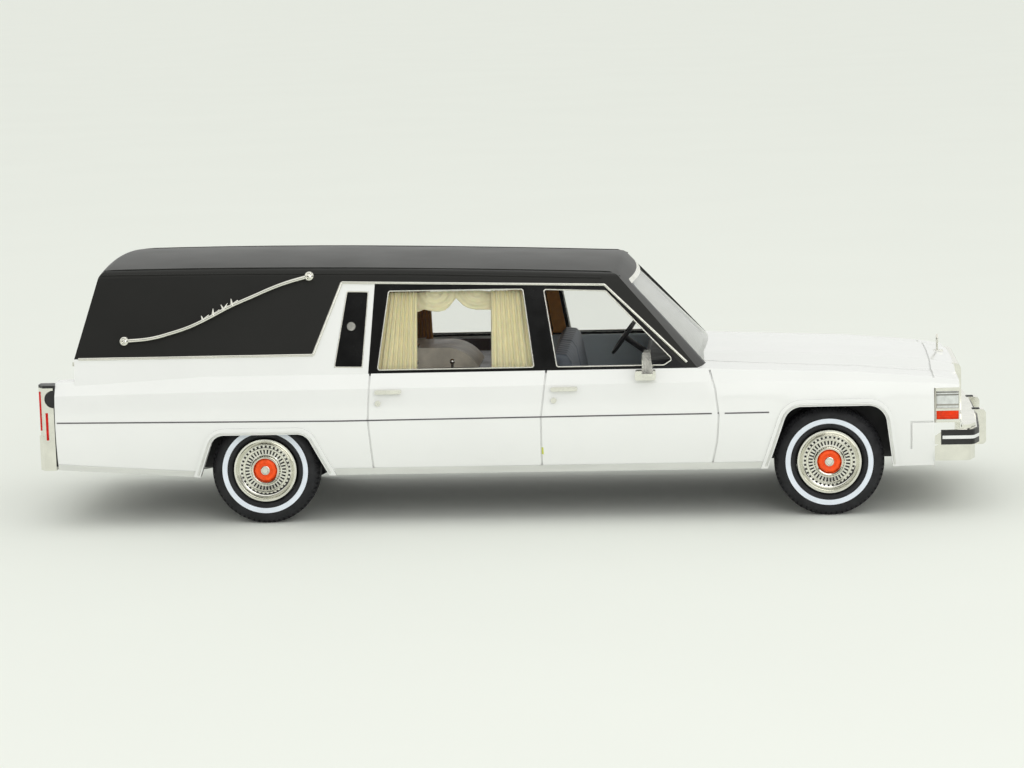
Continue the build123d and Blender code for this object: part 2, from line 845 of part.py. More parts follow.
def make_badges():
    """Blank round badges on the opera panels."""
    place = on_side(rear_axle_x + 13.8, (glass_low + glass_high) / 2 + 0.7, -0.3)
    badge = place * extrude(Circle(0.65), 0.45) - greenhouse_form(0.15)
    return both_sides(badge)


def make_windshield():
    """Bowed windshield glass."""
    return cabin_layer(0.35, glass_thickness) & screen_prism() - lower_form(0.0, -0.5)


def make_windshield_trim():
    """Bright reveal around the windshield."""
    ring = cabin_layer(0.0, 0.35) & (screen_prism() - screen_prism(-0.55))
    return ring - lower_form(0.0, -0.5)


def make_rear_glass():
    """Window of the rear loading door."""
    return cabin_layer(0.35, glass_thickness) & back_prism()


def make_rear_trim():
    """Bright reveal around the rear window."""
    return cabin_layer(0.0, 0.35) & (back_prism() - back_prism(-0.45))


def make_sill_trims():
    """Bright lower mouldings between and behind the wheel arches."""
    layer = skin(-0.15, 0.15)
    x, f = rear_axle_x, front_axle_x
    front_band = side_face([(x + 10.9, 7.55), (f - 9.5, 7.55), (f - 9.5, 8.6), (x + 10.9, 8.6)])
    back_band = side_face([(fin_end_x + 0.1, 9.0), (x - 10.6, 7.55), (x - 10.6, 8.45), (fin_end_x + 0.1, 9.9)])
    strips = layer & across(front_band + back_band)
    for face in arch_faces(1.05):
        strips -= across(face)
    strips -= lower_form(0.0, -0.5, far_below)
    return strips & sill_line()


def make_handles():
    """Door handle bars with their key locks below."""
    pieces = None
    for x in (rear_axle_x + 19.4, front_axle_x - 39.4):
        bar = Pos(x, -waist_half - 0.05, 20.3) * Box(4.0, 0.9, 0.6)
        bar = fillet(bar.edges().filter_by(Axis.Y), 0.25)
        lock = Pos(x - 1.6, -waist_half + 0.1, 18.6) * Rot(90, 0, 0) * Cylinder(0.42, 0.9)
        both = bar + lock
        pieces = both if pieces is None else pieces + both
    pieces -= lower_form(0.0, -0.5)
    return both_sides(pieces)


def make_mirrors():
    """Plated door mirrors: a flat foot on the door and a tapered head standing out from it."""
    x = front_axle_x - 26.8
    foot = Pos(x - 0.4, -waist_half - 0.1, 22.2) * Box(3.1, 1.6, 1.4)
    foot = fillet(foot.edges().filter_by(Axis.Y), 0.3)
    arm = Pos(x, -waist_half - 0.9, 22.9) * Box(1.3, 1.2, 1.4)
    head = Pos(x, -waist_half - 2.2, 22.9) * extrude(Rectangle(1.7, 3.4), 3.2, taper=6)
    piece = foot + arm + head - lower_form(0.0, -0.5) - greenhouse_form(-0.02)
    return both_sides(piece.solids().sort_by(SortBy.VOLUME)[-1])


# Front end

def bumper_plan(front, side_x, half, inset=0.0):
    """Plan outline of the wrap-around front bumper, cut off square at side_x."""
    h, f = half - inset, front - inset
    face = Plane.XY * make_face(
        Polyline(
            (side_x, -h),
            (f - 1.7, -h),
            (f - 0.7, -h + 2.4),
            (f, -7.0),
            (f, 7.0),
            (f - 0.7, h - 2.4),
            (f - 1.7, h),
            (side_x, h),
            close=True,
        )
    )
    outer = face.vertices().filter_by(lambda v: v.X > side_x + 0.1)
    return fillet(outer, 1.0)


def make_front_bumper():
    """Plated front bumper with two upright guards."""
    side_x = bumper_side_x
    lower = Pos(0, 0, bumper_low) * extrude(
        bumper_plan(bumper_front_x - 0.6, side_x, bumper_half - 0.3), rub_low - bumper_low
    )
    middle = Pos(0, 0, rub_low) * extrude(bumper_plan(bumper_front_x - 0.3, side_x, bumper_half), rub_top - rub_low)
    upper = Pos(0, 0, rub_top) * extrude(
        bumper_plan(bumper_front_x - 0.5, side_x, bumper_half - 0.2), bumper_top - rub_top
    )
    hollow = Pos(0, 0, bumper_low - 1) * extrude(
        bumper_plan(bumper_front_x - 0.6, side_x - 1, bumper_half - 0.3, 1.1), bumper_top - bumper_low - 0.6 + 1
    )
    shelf_cut = Pos(lamp_back_x - 5, 0, bumper_top) * Box(10, 60, 8)
    bumper = lower + middle + upper - hollow - shelf_cut
    for y in (-6.2, 6.2):
        guard = Pos(nose_x - 1.9, y, 11.0) * Box(3.8, 2.2, 5.4)
        guard = fillet(guard.edges().filter_by(Axis.Y).sort_by(Axis.X)[-2:], 0.7)
        bumper += guard
    return bumper - lower_form(0.0, -0.5)


def make_front_strip():
    """Black rub strip around the front bumper with black faces on the guards."""
    side_x = bumper_side_x + 0.9
    outer = bumper_plan(bumper_front_x, side_x, bumper_half + 0.3)
    inner = bumper_plan(bumper_front_x - 0.3, side_x - 1, bumper_half)
    band = Pos(0, 0, rub_low) * extrude(outer - inner, rub_top - rub_low)
    band -= Pos(0, 0, (rub_low + rub_top) / 2 - 0.25) * extrude(
        outer - bumper_plan(bumper_front_x - 0.15, side_x - 1, bumper_half + 0.15), 0.5
    )
    return band - make_front_bumper()


def make_inlay():
    """White line set in the front rub strip."""
    side_x = bumper_side_x + 1.1
    outer = bumper_plan(bumper_front_x, side_x, bumper_half + 0.3)
    inner = bumper_plan(bumper_front_x - 0.15, side_x - 1, bumper_half + 0.15)
    line = Pos(0, 0, (rub_low + rub_top) / 2 - 0.25) * extrude(outer - inner, 0.5)
    return line - make_front_bumper()


def make_grille():
    """Plated egg-crate grille with its raised header."""
    back, front = grille_back_x + 0.05, grille_front_x
    middle, depth = (back + front) / 2, front - back
    height = grille_top - grille_low
    centre_z = (grille_top + grille_low) / 2
    half = grille_half - 0.05
    shell = Pos(middle, 0, centre_z) * Box(depth, 2 * half, height)
    top_front = shell.edges().filter_by(Axis.Y).sort_by(Axis.Z)[-2:].sort_by(Axis.X)[-1:]
    shell = fillet(top_front, 0.9)
    opening_height = height - 2.0
    opening_z = centre_z - 0.3
    shell -= Pos(middle + 0.6, 0, opening_z) * Box(depth - 0.6, 2 * half - 1.4, opening_height)
    bar_depth = depth - 1.3
    for step in range(-10, 11):
        shell += Pos(middle, step * 0.8, opening_z) * Box(bar_depth, 0.24, opening_height)
    for step in range(-3, 4):
        shell += Pos(middle, 0, opening_z + step * 0.68) * Box(bar_depth, 2 * half - 1.4, 0.2)
    return shell


lamp_width = lamp_half_out - grille_half - 0.1
lamp_centre_y = -(lamp_half_out + grille_half + 0.1) / 2
lamp_centre_z = (lamp_top + lamp_low) / 2


def make_lamp_shells():
    """Plated headlamp surrounds, open for two lamps, a turn lamp and the corner lenses."""
    back, front = lamp_back_x + 0.05, lamp_front_x
    middle, depth = (back + front) / 2, front - back
    height = lamp_top - 0.05 - lamp_low
    shell = Pos(middle, lamp_centre_y, lamp_low + height / 2) * Box(depth, lamp_width, height)
    shell = fillet(shell.edges().filter_by(Axis.Z).sort_by(Axis.Y)[:1], 0.4)
    for y in (lamp_centre_y - 2.3, lamp_centre_y + 2.9):
        shell -= Pos(front, y, lamp_centre_z + 0.5) * Box(2.4, 4.6, 3.4)
    shell -= Pos(front, lamp_centre_y + 0.3, lamp_low + 0.75) * Box(1.2, 9.8, 0.8)
    shell -= Pos(middle + 0.1, -lamp_half_out, lamp_centre_z + 0.75) * Box(depth - 0.5, 1.2, 2.6)
    shell -= Pos(middle + 0.1, -lamp_half_out, lamp_centre_z - 1.55) * Box(depth - 0.5, 1.2, 1.3)
    return both_sides(shell)


def make_lamp_glass():
    """Headlamp lenses, two on each side, bowed forwards."""
    pieces = []
    for y in (lamp_centre_y - 2.3, lamp_centre_y + 2.9):
        lens = Pos(lamp_front_x - 0.75, y, lamp_centre_z + 0.5) * Box(0.9, 4.6, 3.4)
        lens = fillet(lens.faces().sort_by(Axis.X)[-1].edges(), 0.25)
        pieces += both_sides(lens).solids()
    return Compound(children=pieces)


def corner_lens(z, height):
    """One lens on the outer side of the lamp surround, with rounded outer edges."""
    middle = (lamp_back_x + 0.05 + lamp_front_x) / 2
    length = lamp_front_x - lamp_back_x - 0.55
    lens = Pos(middle + 0.1, -lamp_half_out + 0.25, z) * Box(length, 0.7, height)
    lens = fillet(lens.faces().sort_by(Axis.Y)[0].edges(), 0.2)
    return both_sides(lens)


def make_turn_lamps():
    """Clear turn lamps under the headlamps."""
    lens = Pos(lamp_front_x - 0.3, lamp_centre_y + 0.3, lamp_low + 0.75) * Box(0.6, 9.8, 0.8)
    return both_sides(lens)


def make_ornament():
    """Upright hood ornament with a plain open ring."""
    x = header_x - 1.9
    ring = Pos(x, 0, 23.75) * Rot(0, 0, 90) * Rot(90, 0, 0) * Torus(0.62, 0.15)
    post = Pos(x, 0, 22.2) * Cylinder(0.17, 2.2)
    foot = Pos(x, 0, 21.6) * Box(1.8, 0.6, 0.9)
    piece = foot + post + ring - lower_form(0.0, -0.5)
    piece -= Pos(x + 5, 0, grille_top - 5) * Box(10 + 2 * (x - grille_back_x), 60, 10)
    return piece.solids().sort_by(SortBy.VOLUME)[-1]


# Rear end

def rear_plan(half, back, front):
    """Plan outline of the rear bumper with chamfered corners."""
    return make_face(
        Polyline(
            (front, -half),
            (back + 0.9, -half),
            (back, -half + 1.2),
            (back, half - 1.2),
            (back + 0.9, half),
            (front, half),
            close=True,
        )
    )


def tower_box(extra=0.0):
    """Space between the two upright lamp housings."""
    return Pos(tail_x, 0, 20) * Box(16, 2 * (tail_half - tail_width) + extra, 60)


def recess_disc(radius):
    """Disc across the right lamp housing, at its front edge."""
    return Pos(fin_end_x - gasket, -tail_half, 19.9) * Rot(90, 0, 0) * Cylinder(radius, 3.0)


def make_rear_bumper():
    """Plated rear bumper with its upright lamp housings."""
    back, front = tail_x + strip_proud, fin_end_x - gasket
    low = Pos(0, 0, tail_low) * extrude(rear_plan(tail_half, back, front), rear_bumper_top - tail_low)
    lip = Pos(0, 0, tail_low) * extrude(rear_plan(tail_half, back + 0.2, front), tail_high - 0.4 - tail_low)
    bumper = low + (lip - tower_box())
    bumper -= Pos(front, 0, tail_low) * Box(3.4, 2 * tail_half - 7.0, 8.0)
    for pocket in (Pos(tail_x + 1.85, -tail_half, 15.7) * Box(0.36, 1.0, 4.2), rear_lens(tail_x - 1.0)):
        bumper -= pocket
        bumper -= mirror(pocket, Plane.XZ)
    disc = recess_disc(1.35)
    bumper -= disc
    bumper -= mirror(disc, Plane.XZ)
    return bumper - make_rear_plate_well()


def make_rear_plate_well():
    """Space for the blank licence plate in the rear bumper's face."""
    return Pos(tail_x + strip_proud, 0, 11.5) * Box(0.5, 9.6, 4.6)


def rear_lens(start_x):
    """Red lens in the back of the right lamp housing, reaching backwards to start_x."""
    end_x = tail_x + strip_proud + 0.8
    place = Pos((start_x + end_x) / 2, -tail_half + tail_width / 2, 18.0)
    return place * Box(end_x - start_x, 1.4, 6.0)


def make_tail_lenses():
    """Narrow red lenses in the outer sides and the backs of the lamp housings."""
    blade = Pos(tail_x + 1.85, -tail_half + 0.2, 15.7) * Box(0.36, 0.6, 4.2)
    lens = rear_lens(tail_x + strip_proud + 0.3)
    return both_sides(Compound(children=[*blade.solids(), *lens.solids()]))


def make_gaskets():
    """Black caps and seals between the lamp housings and the fenders."""
    cap = Pos(0, 0, tail_high - 0.4) * extrude(rear_plan(tail_half, tail_x + strip_proud + 0.2, fin_end_x), 0.4)
    seal = Pos((fin_end_x + fin_end_x - gasket) / 2, 0, (tail_low + 0.4 + tail_high) / 2) * Box(
        gasket, 2 * tail_half - 0.4, tail_high - tail_low - 0.8
    )
    disc = recess_disc(1.3) & Pos(0, -tail_half + 0.9, 0) * Box(300, 1.6, 100)
    right = right_half((cap + seal) - tower_box(0.1)) + disc
    right -= lower_form(0.0, 0.0)
    return both_sides(right.solids().sort_by(SortBy.VOLUME)[-1])


def make_rear_strip():
    """Black rub strips on the rear bumper, left and right of the plate."""
    strip_piece = Pos(tail_x + strip_proud / 2, -11.5, 12.0) * Box(strip_proud, 11.0, 1.8)
    return both_sides(strip_piece)


def make_plate():
    """Blank licence plate on the rear bumper."""
    return Pos(tail_x + strip_proud + 0.1, 0, 11.5) * Box(0.3, 9.2, 4.2)


def make_load_door_trim():
    """Handle and hinges of the rear loading door."""
    edge = 0.86 * ridge_half
    pieces = Pos(back_x, -edge + 2.6, belt_z + 1.2) * Box(2.0, 3.2, 0.6)
    for z in (rear_bumper_top + 3.0, belt_z + 1.2):
        pieces += Pos(back_x + back_bow * 0.42, edge, z) * Cylinder(0.55, 2.0)
    return pieces - back_block(0.0)


# Interior

def make_seat():
    """Front bench seat with two rounded backs."""
    x = partition_x + 3.0
    half = 15.8
    low = floor_z + sheet
    top = belt_z + 1.7
    profile = side_face(
        [
            (x + 1.0, low),
            (x + 11.0, low),
            (x + 12.0, low + 5.2),
            (x + 6.4, low + 4.4),
            (x + 4.2, top - 0.3),
            (x + 1.2, top),
            (x + 0.9, low + 4.4),
        ]
    )
    seat = side_prism(fillet(profile.vertices(), 0.8), -half, half)
    backs = None
    for y in (-half / 2 - 0.2, half / 2 + 0.2):
        plan = RectangleRounded(half - 1.0, 2 * (top - low), 2.6)
        back = Pos(x - 5, 0, 0) * extrude(Plane.YZ * Pos(y, low, 0) * plan, 30)
        backs = back if backs is None else backs + back
    bench = Pos(x, 0, low + 2.6) * Box(60, 60, 5.2)
    return seat & (backs + bench)


def make_dash():
    """Dashboard under the windshield."""
    x = front_axle_x - 21.9
    profile = side_face([(x - 0.2, 17.0), (x - 0.2, 23.9), (x - 5.2, 23.6), (x - 6.0, 21.8), (x - 4.6, 17.0)])
    return side_prism(fillet(profile.vertices(), 0.4), -17.4, 17.4)


def make_steering():
    """Steering wheel and column at the left front seat."""
    place = Pos(front_axle_x - 31.4, 8.5, belt_z + 1.0) * Rot(0, -54, 0)
    wheel = Torus(3.1, 0.27) + Cylinder(0.8, 0.7)
    wheel += Box(6.2, 0.5, 0.3) + Box(0.5, 6.2, 0.3)
    column = Pos(0, 0, -2.4) * Cylinder(0.45, 4.8)
    piece = place * (wheel + column) - make_dash()
    return piece.solids().sort_by(SortBy.VOLUME)[-1]


def pleated_face(x_back, x_front, folds):
    """Plan of a pleated cloth between two places along the cabin."""
    outer, inner = [], []
    for step in range(4 * folds + 1):
        share = step / (4 * folds)
        x = x_back + (x_front - x_back) * share
        wave = 0.24 * sin(2 * pi * folds * share)
        outer.append((x, wave - 0.16))
        inner.append((x, wave + 0.16))
    return make_face(Polyline(*outer, *reversed(inner), close=True))


def make_curtain(x_back, x_front, folds):
    """One pleated side curtain, hanging inside the rear door's window."""
    low = belt_z - 0.5
    height = (glass_high - low) / cos(radians(lean_angle))
    place = on_side(0, low, -wall - 0.55)
    curtain = place * Rot(-90, 0, 0) * extrude(pleated_face(x_back, x_front, folds), height)
    return curtain & across(offset(rear_window_face(), 0.35, kind=Kind.INTERSECTION))


def make_valance():
    """Scalloped cloth along the top of the rear door's window, right behind the glass."""
    x, top = rear_axle_x, glass_high
    cloth = across(
        side_face(
            [
                (x + 22.6, top - 0.1),
                (x + 22.6, top - 2.9),
                (x + 25.9, top - 3.1),
                (x + 27.8, top - 2.8),
                (x + 29.0, top - 1.9),
                (x + 29.6, top - 1.2),
                (x + 30.2, top - 1.9),
                (x + 31.5, top - 2.9),
                (x + 34.0, top - 3.1),
                (x + 35.8, top - 2.9),
                (x + 35.8, top - 0.1),
            ]
        )
    )
    inside = across(offset(rear_window_face(), -0.05, kind=Kind.INTERSECTION))
    return right_half(side_walls_only(cabin_layer(0.9, 0.3) & cloth & inside))


def make_curtains():
    """Two pleated curtains and a valance on each side, in the rear door windows."""
    x = rear_axle_x
    first = make_curtain(x + 17.3, x + 23.4, 8)
    second = make_curtain(x + 34.9, x + 41.8, 8)
    return both_sides(Compound(children=[*first.solids(), *second.solids(), *make_valance().solids()]))


def make_table():
    """Casket table on the load floor, with a rounded front end."""
    back, front = back_x + 4.0, partition_x - 6.0
    radius = 6.0
    knee = front - radius
    low = deck_z
    turn = radians(45)
    drop = radius - (table_z - deck_z)
    end = knee + (radius**2 - drop**2) ** 0.5
    arc_x, arc_z = knee + radius * sin(turn), table_z - radius * (1 - cos(turn))
    profile = make_face(
        Curve()
        + [
            Line((back, low), (back, table_z)),
            Line((back, table_z), (knee, table_z)),
            ThreePointArc((knee, table_z), (arc_x, arc_z), (end, low)),
            Line((end, low), (back, low)),
        ]
    )
    table = side_prism(Plane.XZ * profile, -table_half, table_half)
    core = Pos((back + knee) / 2, 0, table_z - 1.7) * Box(knee - back - 1.6, 2 * table_half - 1.6, 2.0)
    return table - core


def make_rollers():
    """Bright rails and rollers on the casket table, and stop pins beside it."""
    top = table_z
    length = partition_x - back_x - 22.0
    middle = back_x + 6.0 + length / 2
    rails = None
    for y in (-4.2, 4.2):
        rail = Pos(middle, y, top + 0.2) * Box(length, 0.7, 0.4)
        rails = rail if rails is None else rails + rail
    count = int(length // 7)
    for step in range(count):
        x = middle - length / 2 + (step + 0.5) * length / count
        rails += Pos(x, 0, top + 0.25) * Rot(90, 0, 0) * Cylinder(0.3, 8.0)
    rails -= Pos(0, 0, top - 0.5) * Box(200, 60, 1.0)
    pins = []
    for x in (rear_axle_x + 22.4, rear_axle_x + 28.0):
        for y in (-9.5, 9.5):
            pin = Pos(x, y, deck_z + 0.75) * Cylinder(0.22, 1.5) + Pos(x, y, deck_z + 1.5) * Sphere(0.42)
            pins += pin.solids()
    return Compound(children=[*rails.solids(), *pins])


if __name__ == "__main__":
    save("body_shell", make_body())
    save("landau_roof", make_roof())
    save("door_frames", make_door_frames())
    save("rear_door_glass", make_side_glass(rear_window_face()))
    save("front_door_glass", make_side_glass(front_window_face()))
    save("window_edges", make_window_edges())
    for name, x in (("front", front_axle_x), ("rear", rear_axle_x)):
        save(f"{name}_tyres", place_pair(make_tyre(), x))
        save(f"{name}_wheel_covers", place_pair(make_wheel(), x))
        save(f"{name}_wheel_caps", place_pair(make_cap(), x))
        save(f"{name}_axle", make_axle(x))
    save("base_plate", make_base())
    save("exhaust", make_exhaust())
    save("interior_tub", make_tub())
    save("casket_deck", make_deck())
    save("casket_table", make_table())
    save("casket_rollers", make_rollers())
    save("cabin_lining", make_lining())
    save("front_seat", make_seat())
    save("dashboard", make_dash())
    save("steering_wheel", make_steering())
    save("side_curtains", make_curtains())
    save("bright_mouldings", make_mouldings())
    save("landau_bars", make_landau_bars())
    save("opera_panels", make_opera_panels())
    save("opera_badges", make_badges())
    save("windshield", make_windshield())
    save("windshield_trim", make_windshield_trim())
    save("rear_glass", make_rear_glass())
    save("rear_window_trim", make_rear_trim())
    save("sill_trims", make_sill_trims())
    save("door_handles", make_handles())
    save("door_mirrors", make_mirrors())
    save("front_bumper", make_front_bumper())
    save("front_bumper_strip", make_front_strip())
    save("front_bumper_inlay", make_inlay())
    save("grille", make_grille())
    save("lamp_shells", make_lamp_shells())
    save("headlamp_lenses", make_lamp_glass())
    save("corner_lenses", corner_lens(lamp_centre_z + 0.75, 2.6))
    save("amber_markers", corner_lens(lamp_centre_z - 1.55, 1.3))
    save("turn_lenses", make_turn_lamps())
    save("hood_ornament", make_ornament())
    save("rear_bumper", make_rear_bumper())
    save("tail_gaskets", make_gaskets())
    save("tail_lenses", make_tail_lenses())
    save("rear_bumper_strips", make_rear_strip())
    save("rear_plate", make_plate())
    save("load_door_trim", make_load_door_trim())
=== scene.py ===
"""Looks of the scale model hearse: finishes, fine pieces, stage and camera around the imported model."""

import json
import math

import bmesh
import bpy
from bpy.props import FloatProperty, FloatVectorProperty, IntProperty, PointerProperty
from mathutils import Matrix, Vector


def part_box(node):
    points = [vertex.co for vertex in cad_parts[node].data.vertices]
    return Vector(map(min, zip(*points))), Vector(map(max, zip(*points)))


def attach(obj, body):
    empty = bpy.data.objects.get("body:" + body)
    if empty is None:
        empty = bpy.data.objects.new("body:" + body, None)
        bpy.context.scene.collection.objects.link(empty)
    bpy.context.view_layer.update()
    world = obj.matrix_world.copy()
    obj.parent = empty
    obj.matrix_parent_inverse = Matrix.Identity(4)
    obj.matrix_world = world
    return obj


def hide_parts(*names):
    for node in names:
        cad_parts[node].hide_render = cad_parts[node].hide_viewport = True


bl_info = {
    "name": "Hearse Model Finish",
    "version": (1, 1, 0),
    "blender": (4, 5, 0),
    "location": "View3D > Sidebar > Hearse",
    "description": "Finishes, fine pieces and a studio for the scale model hearse",
    "category": "Object",
}

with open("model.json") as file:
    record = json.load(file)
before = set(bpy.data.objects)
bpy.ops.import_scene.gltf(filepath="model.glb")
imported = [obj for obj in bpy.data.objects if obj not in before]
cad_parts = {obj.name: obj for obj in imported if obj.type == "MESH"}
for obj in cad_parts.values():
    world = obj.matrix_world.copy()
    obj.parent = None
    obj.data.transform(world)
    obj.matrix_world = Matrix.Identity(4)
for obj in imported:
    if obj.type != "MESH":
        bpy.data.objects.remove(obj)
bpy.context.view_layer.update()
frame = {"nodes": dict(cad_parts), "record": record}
MM = 0.001
MERGE = 1e-6

# Places read from the frame, in metres
FRONT_AXLE = (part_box("front_axle")[0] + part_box("front_axle")[1]) / 2
REAR_AXLE = (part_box("rear_axle")[0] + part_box("rear_axle")[1]) / 2
TYRE_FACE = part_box("front_tyres")[0].y

# The axles' places along the model, in millimetres
FRONT_X, REAR_X = FRONT_AXLE.x / MM, REAR_AXLE.x / MM

# Lines of the cabin's side: half width at the belt and at the ridge, with their heights
BELT_HALF, BELT_Z = 20.9 * MM, 22.9 * MM
RIDGE_HALF, RIDGE_Z = 16.9 * MM, 38.6 * MM
LEAN = math.atan2(BELT_HALF - RIDGE_HALF, RIDGE_Z - BELT_Z)

# Where the lines that are projected onto the body's right side start, beside it
BESIDE_BODY = -26 * MM
# Facets around the small turned pieces
ROUND_STEPS = 32


# Modelling helpers

def close_edit():
    """Goes back to object mode."""
    bpy.ops.object.mode_set(mode="OBJECT")


def select_whole():
    """In edit mode, selects all of the mesh."""
    bpy.ops.mesh.select_all(action="SELECT")


def deselect_all():
    """Leaves nothing selected."""
    if bpy.context.object and bpy.context.object.mode != "OBJECT":
        close_edit()
    bpy.ops.object.select_all(action="DESELECT")


def take(piece):
    """Makes a piece the only selected one."""
    deselect_all()
    piece.select_set(True)
    bpy.context.view_layer.objects.active = piece
    return piece


def edit(piece):
    """Opens a piece for editing with all of it selected."""
    take(piece)
    bpy.ops.object.mode_set(mode="EDIT")
    select_whole()


def draw_line(name, points):
    """A new piece of edges through the points, drawn by extruding one vertex."""
    deselect_all()
    bpy.ops.mesh.primitive_plane_add(size=MM, location=(0, 0, 0))
    piece = bpy.context.object
    piece.name = name
    edit(piece)
    bpy.ops.mesh.select_mode(type="VERT")
    bpy.ops.mesh.merge(type="CENTER")
    bpy.ops.transform.translate(value=points[0])
    for before, after in zip(points, points[1:]):
        step = Vector(after) - Vector(before)
        bpy.ops.mesh.extrude_vertices_move(TRANSFORM_OT_translate={"value": step})
    return piece


def turn_solid(name, outline, steps):
    """A new piece, left open for editing: radii and places along the Y axis, turned about it."""
    piece = draw_line(name, [Vector((radius, y, 0)) for radius, y in outline])
    select_whole()
    bpy.ops.mesh.spin(steps=steps, angle=math.tau, center=(0, 0, 0), axis=(0, 1, 0))
    select_whole()
    bpy.ops.mesh.remove_doubles(threshold=MERGE)
    bpy.ops.mesh.normals_make_consistent(inside=False)
    return piece


def select_faces(piece, wanted):
    """In edit mode, selects the faces whose centre and normal pass a test."""
    bpy.ops.mesh.select_mode(type="FACE")
    bpy.ops.mesh.select_all(action="DESELECT")
    drawn = bmesh.from_edit_mesh(piece.data)
    for face in drawn.faces:
        if wanted(face.calc_center_median(), face.normal):
            face.select_set(True)
    bmesh.update_edit_mesh(piece.data)


def give_selected(piece, slot_index):
    """In edit mode, gives the selected faces one of the piece's materials."""
    piece.active_material_index = slot_index
    bpy.ops.object.material_slot_assign()


def add_modifier(piece, kind, **settings):
    """Adds a modifier to a piece and applies it."""
    take(piece)
    modifier = piece.modifiers.new(kind.lower(), kind)
    for name, value in settings.items():
        setattr(modifier, name, value)
    bpy.ops.object.modifier_apply(modifier=modifier.name)


def copy_piece(piece, name):
    """A copy of a piece with its own mesh."""
    take(piece)
    bpy.ops.object.duplicate(linked=False)
    twin = bpy.context.object
    twin.name = name
    return twin


def place(piece, location, rotation=(0, 0, 0)):
    """Turns a piece modelled about the origin and moves it to its place, with its object at the origin."""
    take(piece)
    piece.rotation_euler = rotation
    piece.location = location
    bpy.ops.object.transform_apply(location=True, rotation=True, scale=True)


def add_box(sizes, location=(0, 0, 0), rotation=(0, 0, 0)):
    """A new box."""
    deselect_all()
    bpy.ops.mesh.primitive_cube_add(size=1.0, location=location)
    box = bpy.context.object
    box.scale = sizes
    box.rotation_euler = rotation
    bpy.ops.object.transform_apply(location=True, rotation=True, scale=True)
    return box


def inset_side(box, wanted, thickness, depth):
    """Insets the faces of a box that pass a test, and rounds all its edges."""
    edit(box)
    select_faces(box, wanted)
    bpy.ops.mesh.inset(thickness=thickness, depth=depth)
    close_edit()
    add_modifier(box, "BEVEL", width=0.06 * MM, segments=2)


def mirror_across(piece):
    """Adds a piece's mirror image on the other side of the model."""
    add_modifier(piece, "MIRROR", use_axis=(False, True, False), use_clip=False, merge_threshold=0.0)


def recalculate(piece):
    """Turns a closed piece's faces outwards."""
    edit(piece)
    bpy.ops.mesh.normals_make_consistent(inside=False)
    close_edit()


def round_line(piece, radius, smooth=False):
    """Turns a drawn line into a round bar."""
    take(piece)
    bpy.ops.object.convert(target="CURVE")
    line = bpy.context.object
    if smooth:
        bpy.ops.object.mode_set(mode="EDIT")
        bpy.ops.curve.select_all(action="SELECT")
        bpy.ops.curve.spline_type_set(type="BEZIER")
        bpy.ops.curve.handle_type_set(type="AUTOMATIC")
        close_edit()
    line.data.dimensions = "3D"
    line.data.bevel_depth = radius
    line.data.bevel_resolution = 3
    line.data.use_fill_caps = True
    bpy.ops.object.convert(target="MESH")
    return bpy.context.object


def join(pieces, name):
    """Joins pieces into one."""
    deselect_all()
    for piece in pieces:
        piece.select_set(True)
    bpy.context.view_layer.objects.active = pieces[0]
    bpy.ops.object.join()
    joined = bpy.context.object
    joined.name = name
    return joined


def settle(piece, body, material=None, replaces=(), angle=35.0):
    """Shades a finished piece and ties it to its body, its finish and the nodes that it stands for."""
    take(piece)
    if material is not None:
        piece.data.materials.clear()
        piece.data.materials.append(material)
    bpy.ops.object.shade_smooth_by_angle(angle=math.radians(angle))
    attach(piece, body)
    if replaces:
        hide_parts(*replaces)


def settle_both_sides(piece, slot, replaces=(), angle=60.0):
    """Mirrors a closed piece made for the right side, and settles both halves on the model."""
    mirror_across(piece)
    recalculate(piece)
    settle(piece, "model", finishes[slot], replaces, angle)


def rounded_line(points, radius, steps=5):
    """Points of a side view line with its inner corners rounded."""
    line = [Vector(points[0])]
    for before, corner, after in zip(points, points[1:], points[2:]):
        corner = Vector(corner)
        back = (Vector(before) - corner).normalized()
        ahead = (Vector(after) - corner).normalized()
        half = back.angle(ahead) / 2
        reach = radius / math.tan(half)
        centre = corner + (back + ahead).normalized() * radius / math.sin(half)
        first = (corner + back * reach - centre).normalized()
        last = (corner + ahead * reach - centre).normalized()
        for step in range(steps + 1):
            line.append(centre + first.slerp(last, step / steps).normalized() * radius)
    line.append(Vector(points[-1]))
    return line


def even_points(line, spacing):
    """Points along a line of vectors, evenly spaced between its corners."""
    points = []
    for first, last in zip(line, line[1:]):
        count = max(1, round((last - first).length / spacing))
        points += [first.lerp(last, step / count) for step in range(count)]
    return [*points, line[-1]]


def cabin_half(z):
    """Half width of the cabin at a height."""
    return BELT_HALF - math.tan(LEAN) * (z - BELT_Z)


def on_side(x, z, lift, side=-1):
    """A point on the cabin's side, lifted outwards from it."""
    out = cabin_half(z) + lift * math.cos(LEAN)
    return Vector((x, side * out, z + lift * math.sin(LEAN)))


# Finishes

UNSTRETCHED = (1.0, 1.0, 1.0)
# The small mark on the right side's shut line: its middle and reach along each axis, in millimetres
MARK = (("X", 5.0, 0.16), ("Z", 10.85, 0.55), ("Y", -21.0, 5.0))


def add_node(tree, kind, values=None, **settings):
    """Adds a node and sets its options and its free inputs."""
    made = tree.nodes.new(kind)
    for name, value in settings.items():
        setattr(made, name, value)
    for socket, value in (values or {}).items():
        made.inputs[socket].default_value = value
    return made


def multiply(tree, first, second):
    """The product of two factors."""
    product = add_node(tree, "ShaderNodeMath", operation="MULTIPLY")
    tree.links.new(first, product.inputs[0])
    tree.links.new(second, product.inputs[1])
    return product.outputs["Value"]


